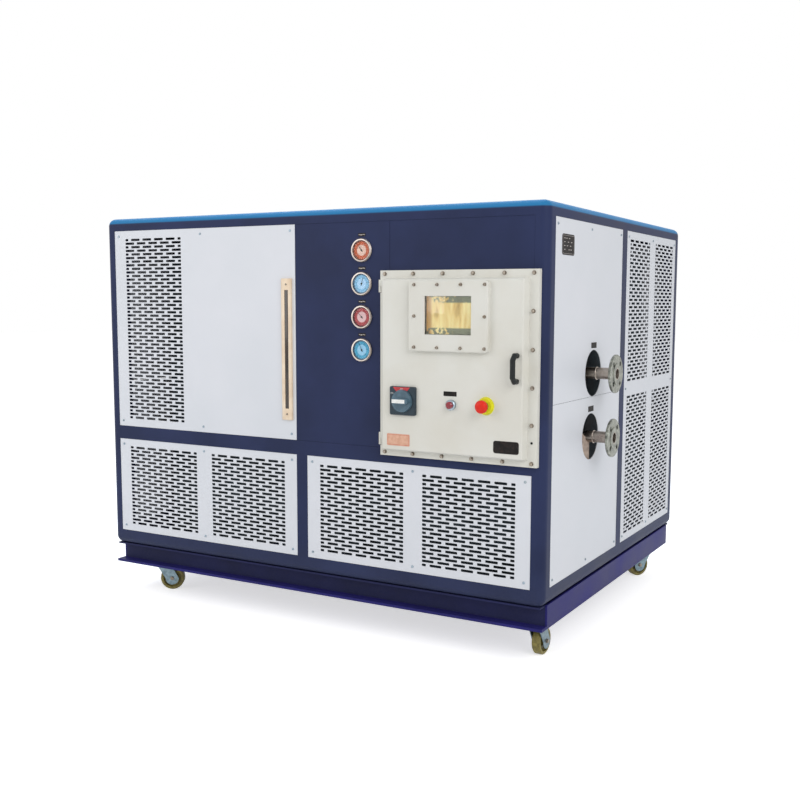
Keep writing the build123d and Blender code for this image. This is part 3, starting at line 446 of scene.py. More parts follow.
# maker, name, colour and the tone it drifts to, size of the patches in mm, range of roughness, size and
# depth of the grain in mm, and what only that maker reads
navyLook = ("#2d3556", "#272e4b", 260, (0.42, 0.52), 2.2, 0.05)
navyMore = {"specular": 0.10, "dust": 0.10}
looks = {
    "navy": (powderCoat, "navyPolyesterPowderCoat", *navyLook, navyMore),
    # corner posts and top rails: navy, with a painted sky reflection in paler blue along the top edge's
    # rounding
    "topEdgeSkyReflection": (powderCoat, "navyPowderCoatWithPaintedSkyReflection", *navyLook,
                {**navyMore, "reflectionBandColour": "#2c78ac", "reflectionBandMm": 24}),
    # base plate and end plates: the skid's blue enamel as a brighter ultramarine copy, painted light where the
    # lower lip faces up
    "skid": (powderCoat, "skidEnamelWithPaintedTopLight", "#23216e", "#1e1d60", 180, (0.42, 0.52), 2.4, 0.06,
             {"specular": 0.10, "dust": 0.08}),
    # webs and cross members: the same skid enamel as a darker navy copy, painted shade in the channel's recess
    # and under the cabinet
    "web": (powderCoat, "skidEnamelWithPaintedShade", "#242850", "#1f2346", 150, (0.48, 0.58), 2.4, 0.06,
            {"specular": 0.08, "dust": 0.08}),
    "grey": (powderCoat, "lightGreyPowderCoat", "#dadce2", "#d5d8de", 320, (0.40, 0.50), 2.0, 0.04,
             {"specular": 0.4, "dust": 0.06}),
    "cream": (texturedEnamel, "creamTexturedEnamel", "#dbdad3", "#d6d4cb", 150, (0.46, 0.58), 1.1, 0.05,
              {"stain": 0.25, "stainColour": "#cfc8b8"}),
    "zinc": (zincPlate, "blueZincPlatedSteel", "#a9b6bf", "#8796a2", 11, (0.26, 0.46), 0.9, 0.02,
             {"stain": 0.3, "stainColour": "#8f8b6c"}),
    "sheet": (zincPlate, "galvanisedSheetSteel", "#a9b6bf", "#9daab3", 60, (0.26, 0.46), 0.9, 0.02,
              {"stain": 0.10, "stainColour": "#8f8b6c"}),
    "caster": (zincPlate, "weatheredZincCasters", "#84979f", "#66777f", 12, (0.28, 0.46), 0.9, 0.02,
               {"stain": 0.3, "stainColour": "#6f7258"}),
    "bolt": (zincPlate, "dulledZincBolts", "#a39a8e", "#7c736a", 7, (0.30, 0.48), 0.8, 0.02,
             {"stain": 0.3, "stainColour": "#8a7a58"}),
    "pipe": (turnedMetal, "turnedStainlessSteel", "#c2b9af", "#978b82", 42, (0.24, 0.42), 0.7, 0.03,
             {"stain": 0.40, "stainColour": "#80705c", "axis": 0}),
    "flange": (turnedMetal, "oiledTurnedFlangeSteel", "#b0b2a8", "#6e7069", 16, (0.26, 0.46), 0.7, 0.03,
               {"stain": 0.65, "stainColour": "#55574a", "axis": 0}),
    "bezel": (turnedMetal, "polishedSteelBezel", "#e6dcd4", "#cfc2b8", 24, (0.16, 0.30), 0.5, 0.01,
              {"stain": 0.2, "stainColour": "#c8b4a8", "axis": 1}),
    "level": (mouldedPlastic, "peachAnodisedGaugeBody", "#f0dcc2", "#e2cbb0", 60, (0.34, 0.46), 0.6, 0.02,
              {"stain": 0.25, "stainColour": "#f6ead8"}),
    "black": (mouldedPlastic, "blackMouldedAbs", "#1a1f20", "#131718", 30, (0.34, 0.46), 0.7, 0.03,
              {"specular": 0.25}),
    "switch": (mouldedPlastic, "slateMouldedPolyamide", "#2b3b45", "#22303a", 25, (0.34, 0.46), 0.7, 0.03,
               {"specular": 0.3}),
    "knob": (mouldedPlastic, "blueGreyMouldedPolyamide", "#56707f", "#465d6b", 18, (0.28, 0.38), 0.7, 0.02,
             {}),
    "red": (mouldedPlastic, "redGlossAbs", "#e22c1a", "#d22414", 15, (0.30, 0.38), 0.9, 0.01,
            {"specular": 0.25}),
    "yellow": (mouldedPlastic, "yellowSatinAbs", "#e4df24", "#dad51c", 15, (0.32, 0.42), 0.9, 0.01,
               {"specular": 0.25}),
    "lens": (mouldedPlastic, "redAcrylicLens", "#9a2836", "#801f2c", 8, (0.10, 0.16), 1.5, 0.02,
             {"coat": 0.4}),
    "white": (mouldedPlastic, "whitePolyesterFoil", "#f2f2f0", "#e6e6e2", 12, (0.38, 0.48), 0.8, 0.01, {}),
    "redFoil": (mouldedPlastic, "redPolyesterFoil", "#c83c40", "#b43338", 12, (0.32, 0.42), 0.8, 0.01, {}),
    "darkFoil": (mouldedPlastic, "darkAnodisedLabel", "#262322", "#1b1a19", 18, (0.44, 0.56), 0.8, 0.01,
                 {"stain": 0.4, "stainColour": "#42322d", "specular": 0.12}),
    "peach": (mouldedPlastic, "peachPolyesterFoil", "#dcae94", "#cf9c82", 10, (0.32, 0.42), 0.6, 0.01, {}),
    "fleck": (mouldedPlastic, "rubbedLabelPrint", "#c2bbb6", "#a39a94", 6, (0.4, 0.5), 0.6, 0.01, {}),
    "wheel": (mouldedPlastic, "yellowedNylonWheel", "#9c9150", "#6c6232", 14, (0.42, 0.58), 1.2, 0.05,
              {"stain": 0.5, "stainColour": "#5e5426"}),
    "foam": (mouldedPlastic, "beigePipeFoam", "#c6b4a6", "#a8968a", 16, (0.80, 0.95), 2.5, 0.35,
             {"specular": 0.2}),
    "inside": (mouldedPlastic, "darkPaintedMachinery", "#4c5962", "#2a3339", 90, (0.55, 0.8), 6.0, 0.5,
               {"specular": 0.25}),
    "sight": (mouldedPlastic, "brownSightTube", "#33261c", "#241a13", 40, (0.10, 0.2), 8.0, 0.02,
              {"coat": 0.3}),
}
coats = {}
for key, (maker, name, colour, tone, patchMm, gloss, grainMm, grainDepthMm, more) in looks.items():
    coats[key] = maker(name, {"colour": colour, "tone": tone, "patchMm": patchMm, "gloss": gloss,
                              "grainMm": grainMm, "grainDepthMm": grainDepthMm, **more})
coats["window"] = clearGlass("toughenedFloatGlass", {"colour": "#fbfcf8", "tone": "#eef1e8", "patchMm": 30,
                                                     "specular": 0.3, "ior": 1.45, "smear": 0.10})
coats["gauge"] = clearGlass("thinInstrumentGlass", {"colour": "#fdfefd", "tone": "#f4f7f5", "patchMm": 12,
                                                    "specular": 0.2, "ior": 1.12, "smear": 0.03})
print("materials made:", len(bpy.data.materials))

dressed = {
    "navy": "bottom_rails mid_rails centre_posts side_posts gauge_panel control_panel top_panel",
    "topEdgeSkyReflection": "corner_posts top_rails", "skid": "base_plate", "web": "skid_rails cross_members",
    "grey": "upper_pipe_panel lower_pipe_panel left_plain_panels rear_upper_panels",
    "cream": "control_box_body hinge_knuckles door window_frame", "sheet": "mounting_plate",
    "caster": "caster_plates fork_front_left fork_front_right fork_rear_left fork_rear_right",
    "wheel": "wheel_front_left wheel_front_right wheel_rear_left wheel_rear_right",
    "inside": "machinery_block", "window": "window_glass", "bezel": "gauge_bezels", "zinc": "lamp_ring",
    "darkFoil": "gauge_labels side_plates", "black": "door_handle", "switch": "switch_base",
    "knob": "switch_knob", "lens": "lamp_lens", "yellow": "stop_collar", "red": "stop_button",
    "pipe": "water_pipes", "flange": "pipe_flanges",
}
for key, names in dressed.items():
    for name in names.split():
        piece = nodes[name]
        if not piece.material_slots:
            piece.data.materials.append(coats[key])
        for holder in piece.material_slots:
            holder.material = coats[key]


def finishPiece(piece, body, look, stands=(), name=None):
    if name:
        piece.name = name
    piece.data.materials.clear()
    piece.data.materials.append(coats[look])
    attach(piece, body)
    if stands:
        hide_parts(*stands)


# slot lengths, height, corner, steps along and up, and the sheet's thickness, all in mm
slots = {"long": 48.0, "short": 16.7, "height": 9.5, "corner": 2.6, "pitch": 62.6, "rowPitch": 14.6,
         "thickness": 2.0}


def slotRun(x, z, length, count, rows):
    # outline of one slot with eased corners, repeated along its row and up every second row
    tall = slots["height"] / 2
    run = patch(x * mm, (x + slots[length]) * mm, (z - tall) * mm, (z + tall) * mm)
    everyPart(run)
    bpy.ops.mesh.bevel(offset=slots["corner"] * mm, segments=2, affect="VERTICES")
    bpy.ops.mesh.select_all(action="SELECT")
    bpy.ops.mesh.delete(type="ONLY_FACE")
    letGo()
    arrayed(run, count, (slots["pitch"] * mm, 0, 0))
    return arrayed(run, rows, (0, 2 * slots["rowPitch"] * mm, 0))


def slotZone(x, z, longs, rows, kind):
    # kind tells how the rows start: short slots at both ends, or at one end in turn
    half = slots["pitch"] / 2
    odd, even = (rows + 1) // 2, rows // 2
    up = z + slots["rowPitch"]
    if kind == "bothEnds":
        end = x + (half + longs * slots["pitch"])
        runs = ((x, z, "short", 1, odd), (x + half, z, "long", longs, odd), (end, z, "short", 1, odd),
                (x, up, "long", longs + 1, even))
    else:
        starts = ((z, odd), (up, even))
        (first, most), (second, rest) = starts if kind == "shortRight" else reversed(starts)
        end = x + longs * slots["pitch"]
        runs = ((x, first, "long", longs, most), (end, first, "short", 1, most),
                (x, second, "short", 1, rest), (x + half, second, "long", longs, rest))
    return [slotRun(*run) for run in runs]


def slottedSheet(width, height, runs):
    sheet = patch(0, width, 0, height)
    everyPart(sheet)
    bpy.ops.mesh.delete(type="ONLY_FACE")
    makeActive(sheet)
    for run in runs:
        run.select_set(True)
    bpy.ops.object.join()
    everyPart(sheet)
    bpy.ops.mesh.fill(use_beauty=True)
    letGo()
    if sheet.data.polygons[0].normal.z < 0:
        everyPart(sheet, "FACE")
        bpy.ops.mesh.flip_normals()
        letGo()
    return thickened(sheet, slots["thickness"] * mm)


def hangSheet(sheet, side, corner):
    # the sheet's own x and y run along the wall and up it, its face looks outwards
    sheet.rotation_euler = (math.radians(90), 0, facings[side][2])
    sheet.location = corner
    return settle(sheet)


ventPanels = {"front": {"startsMm": (57, 495), "rowsMm": (34,), "rows": 23, "longs": 5,
                        "kinds": ("bothEnds", "bothEnds")},
              "upper": {"startsMm": (58,), "rowsMm": (37,), "rows": 51, "longs": 4, "kinds": ("bothEnds",)},
              "side": {"startsMm": (43, 388), "rowsMm": (34, 658), "rows": 39, "longs": 4,
                       "kinds": ("shortRight", "shortLeft")}, "barMm": 24}


def ventRuns(pattern):
    look = ventPanels[pattern]
    return [run for z in look["rowsMm"] for x, kind in zip(look["startsMm"], look["kinds"])
            for run in slotZone(x, z, look["longs"], look["rows"], kind)]


def makeVentPanel(name, side, pattern):
    low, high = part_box(name)
    width = high.x - low.x if side == "front" else high.y - low.y
    corner = {"front": (low.x, low.y, low.z), "right": (high.x, low.y, low.z), "left": (low.x, high.y, low.z)}
    sheet = hangSheet(slottedSheet(width, high.z - low.z, ventRuns(pattern)), side, corner[side])
    finishPiece(sheet, "cabinet", "grey", (name,), name.replace("_", "-") + "-slotted")


def makeRearPanels():
    # two sheets with the frame's bar between them
    low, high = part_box("rear_lower_panels")
    middle = (low.x + high.x) / 2
    gap = ventPanels["barMm"] * mm
    halves = []
    for start, end in ((high.x, middle + gap), (middle - gap, low.x)):
        sheet = slottedSheet(start - end, high.z - low.z, ventRuns("front"))
        halves.append(hangSheet(sheet, "rear", (start, high.y, low.z)))
    finishPiece(joined(halves, "rear-lower-panels-slotted"), "cabinet", "grey",
                ("rear_lower_panels",))


makeVentPanel("lower_left_panel", "front", "front")
makeVentPanel("lower_right_panel", "front", "front")
makeRearPanels()
makeVentPanel("upper_left_panel", "front", "upper")
makeVentPanel("right_vent_panel", "right", "side")
makeVentPanel("left_vent_panel", "left", "side")
print("slotted sheets made")


def makeHead(look):
    # fastener that stands out towards the front: a washer under a head with eased edges
    start = look["washerThickMm"] * mm
    washer = rounded(rod(look["washerMm"] / 2 * mm, start, (0, -start / 2, 0), sides=20), lightEdge, 1)
    high = look["headHighMm"] * mm
    head = rod(look["headMm"] / 2 * mm, high, (0, -start - high / 2, 0), sides=look["sides"])
    pick(head, "FACE", lambda face: face.center.y < -start - high + 0.1 * mm)
    inset(look["edgeMm"] * mm, (0, -look["crownMm"] * mm, 0))
    if "socketMm" in look:
        inset((look["headMm"] / 2 - look["edgeMm"] - look["socketMm"] / 2) * mm,
              (0, look["socketDeepMm"] * mm, 0), True)
    letGo()
    return smooth(joined([head, washer], "head"), 30)


panelScrew = {"washerMm": 10, "washerThickMm": 0.8, "headMm": 8.0, "headHighMm": 1.4, "sides": 12,
              "edgeMm": 1.2, "crownMm": 1.0, "socketMm": 3.6, "socketDeepMm": 1.4, "insetMm": 22,
              "sunkMm": 2.4}


def aroundPanel(u0, u1, low, high, middles=(), ends=("low", "high")):
    # places of the screws: the corners, the middle of each end and, where told, up the sides
    rim = panelScrew["insetMm"] * mm
    rows = [spot for end, spot in (("low", low + rim), ("high", high - rim)) if end in ends]
    spots = [(u, z) for u in (u0 + rim, (u0 + u1) / 2, u1 - rim) for z in rows]
    return spots + [(u, low + (high - low) * share) for u in (u0 + rim, u1 - rim) for share in middles]


def screwPlaces(name, side, middles=(), ends=("low", "high"), span=None):
    # the ones behind and on the left are sunk, so that they stay within the frame's faces
    low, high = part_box(name)
    sunk = panelScrew["sunkMm"] * mm
    wall = {"front": low.y, "rear": high.y - sunk, "right": high.x, "left": low.x + sunk}[side]
    lengthwise = side in ("front", "rear")
    u0, u1 = span or ((low.x, high.x) if lengthwise else (low.y, high.y))
    return [((u, wall, z) if lengthwise else (wall, u, z), facings[side])
            for u, z in aroundPanel(u0, u1, low.z, high.z, middles, ends)]


def makePanelScrews():
    places = []
    for name in ("lower_left_panel", "lower_right_panel", "upper_left_panel"):
        places += screwPlaces(name, "front")
    for name in ("rear_lower_panels", "rear_upper_panels"):
        low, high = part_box(name)
        middle, gap = (low.x + high.x) / 2, ventPanels["barMm"] * mm
        for span in ((low.x, middle - gap), (middle + gap, high.x)):
            places += screwPlaces(name, "rear", span=span)
    for panel in (("right_vent_panel", "right", (0.5,)), ("upper_pipe_panel", "right", (), ("high",)),
                  ("lower_pipe_panel", "right", (), ("low",)), ("left_vent_panel", "left", (0.5,)),
                  ("left_plain_panels", "left")):
        places += screwPlaces(*panel)
    finishPiece(copiesOf(makeHead(panelScrew), places, "panel-screws"), "cabinet", "zinc")
    return len(places)


hexHead = {"washerMm": 17, "washerThickMm": 1.4, "sides": 6, "edgeMm": 1.2, "crownMm": 0.8}
coverBolt = {**hexHead, "washerMm": 15, "headMm": 12, "headHighMm": 5.5, "edgeMm": 1.3,
             "columnsMm": (19, 133, 249, 364, 480, 586), "rowsMm": (12.5, 641.7),
             "sidesMm": ((585, 140), (585, 264), (585, 390), (585, 517)), "turn": 0.4}
windowBolt = {"washerMm": 12, "washerThickMm": 1.0, "headMm": 9.5, "headHighMm": 5.0, "sides": 16,
              "edgeMm": 0.9, "crownMm": 0.5, "socketMm": 5.0, "socketDeepMm": 2.6,
              "columnsMm": (165, 254, 343, 432), "rowsMm": (603, 391), "sidesMm": ((165, 497), (432, 497)),
              "turn": 0.3}
boxWideMm = 605
panRiseMm = 30


def boxCorner():
    # lower left corner of the cover plate's face, behind the raised pan
    low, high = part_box("door")
    return high.x - boxWideMm * mm, low.y + panRiseMm * mm, low.z


def makeBoxBolts():
    # each bolt is turned a little further than the one before it
    left, face, bottom = boxCorner()
    for name, look, front in (("cover-bolts", coverBolt, face),
                              ("window-bolts", windowBolt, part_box("window_frame")[0].y)):
        spots = [(x, z) for x in look["columnsMm"] for z in look["rowsMm"]] + list(look["sidesMm"])
        places = [((left + x * mm, front, bottom + z * mm), (0, look["turn"] * number, 0))
                  for number, (x, z) in enumerate(spots)]
        finishPiece(copiesOf(makeHead(look), places, name), "control_door", "bolt")


coverPlug = {"placeMm": (586, 82), "radiusMm": 4, "deepMm": 1.6, "rimMm": 1.0, "dishMm": 1.2}


def makeCoverPlug():
    # threaded plug at the door's edge, dished in the middle
    left, face, bottom = boxCorner()
    x, z = metres(coverPlug["placeMm"])
    deep = coverPlug["deepMm"] * mm
    plug = rod(coverPlug["radiusMm"] * mm, deep, (left + x, face - deep / 2, bottom + z), sides=24)
    dished(plug, coverPlug["rimMm"], coverPlug["dishMm"], True)
    finishPiece(smooth(plug), "control_door", "black", name="cover-plug")


print("panel screws:", makePanelScrews())
makeBoxBolts()
makeCoverPlug()
print("box bolts made")


skidEnd = {"plateMm": 8, "notchMm": 44, "edgeMm": 0.8}


def makeSkidEnds():
    # the end plates stop at the front channel's web, so that its lower lip runs out free
    low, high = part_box("skid_end_plates")
    thick = skidEnd["plateMm"] * mm
    ends = [rounded(bar(span, (low.y + skidEnd["notchMm"] * mm, high.y), (low.z, high.z)),
                    skidEnd["edgeMm"] * mm)
            for span in ((low.x, low.x + thick), (high.x - thick, high.x))]
    # the end plates take the brighter skid copy, with its painted light
    finishPiece(joined(ends, "skid-end-plates-cut"), "cabinet", "skid", ("skid_end_plates",))


coil = {"rightMm": 69, "leftMm": 71, "postMm": 54, "depthMm": (9, 36), "lowMm": 22, "highMm": 4, "pitchMm": 7,
        "finMm": 1.4, "finDeepMm": 6, "rootMm": 1, "startMm": 2, "shortMm": 4, "edgeMm": 3, "tip": 0.5}


def makeCondenserCoil():
    # fin packs behind the rear slots: a core with a row of upright fins on its outer face
    low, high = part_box("rear_lower_panels")
    middle = (low.x + high.x) / 2
    front, back = high.y - coil["depthMm"][1] * mm, high.y - coil["depthMm"][0] * mm
    foot, top = low.z + coil["lowMm"] * mm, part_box("mid_rails")[0].z - coil["highMm"] * mm
    cabinetLow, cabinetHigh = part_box("corner_posts")
    spans = ((cabinetLow.x + coil["leftMm"] * mm, middle - coil["postMm"] * mm),
             (middle + coil["postMm"] * mm, cabinetHigh.x - coil["rightMm"] * mm))
    start, short, deep = (coil[size] * mm for size in ("startMm", "shortMm", "finDeepMm"))
    packs = []
    for x0, x1 in spans:
        core = rounded(bar((x0, x1), (front, back - deep), (foot, top)), coil["edgeMm"] * mm)
        fin = bar((x0 + start, x0 + start + coil["finMm"] * mm), (back - deep - coil["rootMm"] * mm, back),
                  (foot + short, top - short))
        narrowed(fin, coil["tip"], lambda point: point.co.y > back - 1 * mm)
        count = int((x1 - x0 - 3 * start) / (coil["pitchMm"] * mm))
        packs += [core, arrayed(fin, count, (coil["pitchMm"] * mm, 0, 0))]
    finishPiece(joined(packs, "condenser-fin-packs"), "cabinet", "inside")


makeSkidEnds()
makeCondenserCoil()
print("skid ends and fin packs made")


gauge = {
    # each face's rim is the darker ring at the dial's edge, a painted shadow of the bezel
    "faces": (
        {"band": "#c0562e", "hub": "#e2bcae", "rim": "#6e3524", "needleTurn": 38},
        {"band": "#7fb6de", "hub": "#a9cff2", "rim": "#3f5c78", "needleTurn": -14},
        {"band": "#a83a40", "hub": "#dcb4b8", "rim": "#5a1e26", "needleTurn": 44},
        {"band": "#3f9cc4", "hub": "#92c6e8", "rim": "#2c5670", "needleTurn": 24},
    ),
    # ticks: long, wide and how many; hub and needle: radius, height and place, and span on each axis
    "sweepDegrees": 270, "finely": (3.4, 0.5, 26), "coarsely": (6.0, 0.9, 6), "numberSizeMm": 5.2, "step": 5,
    "scaleThickMm": 0.12, "hubMm": (3.2, 2.4, 1.6), "needleWideMm": 1.1, "needleMm": (0.95, 1.45),
    "tickShare": 0.90, "numberShare": 0.60, "needleShares": (-0.2, 0.75), "needleTip": 0.25,
    "dialThickMm": 2.6, "dialRimMm": 1.2, "dialSunkMm": 0.5, "scaleSunkMm": 0.35,
    "glassThickMm": 1.2, "glassGapMm": 0.2, "glassSunkMm": 3.2,
}


def makeTicks(radius, longMm, wideMm, count):
    # one tick on the rim, then a ring of copies round the dial
    sweep = gauge["sweepDegrees"]
    tick = patch(-wideMm * mm / 2, wideMm * mm / 2, radius - longMm * mm, radius)
    turns = [math.radians(sweep / 2 - sweep * number / (count - 1)) for number in range(count)]
    return copiesOf(tick, [((0, 0, 0), (0, 0, turn)) for turn in turns], "ticks")


def flatText(words, size, x, y):
    letGo()
    bpy.ops.object.text_add()
    text = bpy.context.object
    setAll(text.data, {"body": words, "size": size, "align_x": "CENTER", "align_y": "CENTER",
                       "resolution_u": 3})
    text.location = (x, y, 0)
    makeActive(text)
    bpy.ops.object.convert(target="MESH")
    return bpy.context.object


def makeDialScale(radius, needleTurn):
    # scale, numbers and needle are drawn lying down, and stand up on the dial afterwards
    sweep, count = gauge["sweepDegrees"], gauge["coarsely"][2]
    marks = [makeTicks(radius * gauge["tickShare"], *gauge[ticks]) for ticks in ("finely", "coarsely")]
    reach = radius * gauge["numberShare"]
    for number in range(count):
        turn = math.radians(90 + sweep / 2 - sweep * number / (count - 1))
        marks.append(flatText(str(number * gauge["step"]), gauge["numberSizeMm"] * mm, reach * math.cos(turn),
                              reach * math.sin(turn)))
    scale = thickened(joined(marks, "scale"), gauge["scaleThickMm"] * mm)
    hubRadius, hubHigh, hubMiddle = metres(gauge["hubMm"])
    hub = rounded(rod(hubRadius, hubHigh, (0, 0, hubMiddle), (0, 0, 0), 20), 0.7 * mm)
    half = gauge["needleWideMm"] * mm
    needle = bar((-half, half), [radius * share for share in gauge["needleShares"]],
                 metres(gauge["needleMm"]))
    narrowed(needle, gauge["needleTip"], lambda point: point.co.y > radius * 0.6)
    needle.rotation_euler = (0, 0, math.radians(needleTurn))
    return joined([scale, hub, settle(needle)], "scale")


def makeGauges():
    low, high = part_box("gauge_dials")
    radius = (high.x - low.x) / 2
    x, face = (low.x + high.x) / 2, low.y
    top, spacing = high.z - radius, (high.z - low.z - 2 * radius) / 3
    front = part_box("gauge_bezels")[0].y
    thick = gauge["dialThickMm"] * mm
    scales, glasses = [], []
    for number, look in enumerate(gauge["faces"]):
        z = top - spacing * number
        dial = dished(rod(radius, thick, (x, face + thick / 2, z)), gauge["dialRimMm"], gauge["dialSunkMm"])
        key = f"dial{number + 1}"
        coats[key] = printedDial(f"printedDialPlate{number + 1}", look, x, z, radius)
        finishPiece(smooth(dial), "cabinet", key, ("gauge_dials",) if number == 0 else (),
                    f"gauge-dial-{number + 1}")
        scale = makeDialScale(radius, look["needleTurn"])
        scale.rotation_euler = (math.pi / 2, 0, 0)
        scale.location = (x, face + gauge["scaleSunkMm"] * mm, z)
        scales.append(settle(scale))
        glass = rod(radius - gauge["glassGapMm"] * mm, gauge["glassThickMm"] * mm,
                    (x, front + gauge["glassSunkMm"] * mm, z))
        glasses.append(rounded(glass, lightEdge, 1))
    finishPiece(joined(scales, "gauge-scales"), "cabinet", "black")
    finishPiece(smooth(joined(glasses, "gauge-glasses")), "cabinet", "gauge")


level = {"slitMm": 17, "endMm": 43, "deepMm": 5, "edgeMm": 0.8, "tubeMm": (2.4, 5.2), "tubeRimMm": 3,
         "tubeRiseMm": 1.2, "screwMm": 22, "screw": {"washerMm": 8, "headMm": 6.5}}


def makeLevelGauge():
    # bar with eased edges and a long slit sunk into it, and the sight tube lying in the slit
    low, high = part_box("level_gauge_body")
    middle, end = (low.x + high.x) / 2, level["endMm"] * mm
    half = level["slitMm"] / 2 * mm
    side = (high.x - low.x) / 2 - half
    body = dished(bar((low.x, high.x), (low.y, high.y), (low.z, high.z)), side / mm, 0)
    for up, tip in ((1, high.z), (-1, low.z)):
        pick(body, "VERT", lambda point: abs(point.co.z - (tip - up * side)) < 0.5 * mm)
        bpy.ops.transform.translate(value=(0, 0, -up * (end - side)))
        letGo()
    pick(body, "FACE", lambda face: face.normal.y < -squareOn and abs(face.center.x - middle) < 2 * mm
         and abs(face.center.z - (low.z + high.z) / 2) < 10 * mm)
    bpy.ops.mesh.extrude_region_move(TRANSFORM_OT_translate={"value": (0, level["deepMm"] * mm, 0)})
    letGo()
    finishPiece(smooth(rounded(body, level["edgeMm"] * mm)), "cabinet", "level",
                ("level_gauge_body",), "level-gauge-bar")
    tube = bar((middle - half, middle + half), [low.y + size for size in metres(level["tubeMm"])],
               (low.z + end, high.z - end))
    dished(tube, level["tubeRimMm"], -level["tubeRiseMm"])
    finishPiece(smooth(tube), "cabinet", "sight", ("level_gauge_glass",), "level-gauge-tube")
    places = [((middle, low.y, z), facings["front"])
              for z in (low.z + level["screwMm"] * mm, high.z - level["screwMm"] * mm)]
    finishPiece(copiesOf(makeHead({**panelScrew, **level["screw"]}), places, "level-gauge-screws"), "cabinet",
                "bolt")


makeGauges()
makeLevelGauge()
print("gauges made")


def edgeLine(x0, x1, z0, z1, insetMm, widthMm):
    # thin raised line that runs round just inside a plate's edge, drawn flat
    rim = insetMm * mm
    line = patch(x0 + rim, x1 - rim, z0 + rim, z1 - rim)
    everyPart(line, "FACE")
    inset(widthMm * mm)
    bpy.ops.mesh.delete(type="FACE")
    letGo()
    return line


def standUp(lines, name, side, at):
    # lines drawn flat are thickened and stood on a face that looks to the front or to the right
    piece = thickened(joined(lines, name), 0.15 * mm)
    piece.rotation_euler = (math.pi / 2, 0, facings[side][2])
    piece.location = at
    return settle(piece)


def flecks(x0, x1, z0, z1, spots):
    # short worn dashes left where a label was printed; spots are (across, up, long, high) in shares
    wide, tall = x1 - x0, z1 - z0
    return [patch(x0 + a * wide, x0 + (a + long) * wide, z0 + b * tall, z0 + (b + high) * tall)
            for a, b, long, high in spots]


# door plates: place, width, height and corner; edge lines: inset and width; dashes in shares of a label
plate = {"leftMm": (46, 42, 92, 42, 4), "rightMm": (460, 44, 93, 42, 8), "lampMm": (271, 226.5, 50, 16, 1.5),
         "thickMm": 0.9, "lineMm": (3.0, 0.9), "labels": 4, "labelMm": 11, "liftMm": 0.05,
         "dashes": ((0.08, 0.40, 0.16, 0.26), (0.30, 0.30, 0.24, 0.30), (0.60, 0.44, 0.20, 0.26),
                    (0.84, 0.34, 0.10, 0.28)),
         "sideMm": (113, 70), "sideLineMm": (4.5, 0.9), "sideDash": (0.78, 0.18, 0.10, 0.035),
         "sideRows": ((0.14, 0.30, 0.52), (0.14, 0.44, 0.70), (0.14, 0.36, 0.62), (0.14, 0.50, 0.66))}


def roundedTag(spot):
    # bare plate on the door, cut from sheet, its corners rounded and its edge eased
    left, _, bottom = boxCorner()
    x, z, wide, tall, corner = metres(plate[spot])
    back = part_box("door_plates")[1].y
    tag = bar((left + x, left + x + wide), (back - plate["thickMm"] * mm, back),
              (bottom + z, bottom + z + tall))
    points = tag.data.vertices
    pick(tag, "EDGE", lambda edge: abs(points[edge.vertices[0]].co.y
                                       - points[edge.vertices[1]].co.y) > 0.1 * mm)
    bpy.ops.mesh.bevel(offset=corner, segments=5)
    letGo()
    return smooth(rounded(tag, lightEdge, 1, 60))


def makePlates():
    finishPiece(roundedTag("leftMm"), "control_door", "peach", ("door_plates",), "bare-peach-plate")
    left, _, bottom = boxCorner()
    x, z, wide, tall = metres(plate["leftMm"][:4])
    line = edgeLine(left + x, left + x + wide, bottom + z, bottom + z + tall, *plate["lineMm"])
    finishPiece(standUp([line], "peach-plate-edge", "front", (0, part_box("door_plates")[0].y, 0)),
                "control_door", "redFoil")
    finishPiece(joined([roundedTag("rightMm"), roundedTag("lampMm")], "bare-dark-plates"), "control_door",
                "darkFoil")
    low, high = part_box("gauge_labels")
    tall, lift = plate["labelMm"] * mm, plate["liftMm"] * mm
    marks = []
    for number in range(plate["labels"]):
        z0 = high.z - tall - (high.z - low.z - tall) / (plate["labels"] - 1) * number
        marks += flecks(low.x, high.x, z0, z0 + tall, plate["dashes"])
    finishPiece(standUp(marks, "gauge-label-flecks", "front", (0, low.y - lift, 0)), "cabinet", "fleck")
    low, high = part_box("side_plates")
    wide, tall = metres(plate["sideMm"])
    marks = [edgeLine(low.y, low.y + wide, high.z - tall, high.z, *plate["sideLineMm"])]
    first, step, long, thin = plate["sideDash"]
    for row, spots in enumerate(plate["sideRows"]):
        marks += flecks(low.y, low.y + wide, high.z - tall, high.z,
                        [(spot, first - step * row, long, thin) for spot in spots])
    finishPiece(standUp(marks, "side-plate-marks", "right", (high.x + lift, 0, 0)), "cabinet", "fleck")


makePlates()
print("plates made")


# strip: top, foot and height; marker: width, height and span past the lever's face
control = {"baseMm": 6, "stripMm": (68, 34, 20), "stripShiftMm": -3, "stripDownMm": 2, "stripLiftMm": 0.1,
           "wordMm": 7, "wordLiftMm": 0.25, "onMm": (10, 26), "offDownMm": 9, "markerMm": (51, 13),
           "markerShiftMm": -4, "markerFaceMm": (-0.7, 0.4), "markerEdgeMm": 0.4, "bezelMm": (16.5, 9),
           "bezelRimsMm": (3, 2.5, 5.5), "bezelDishMm": 2}


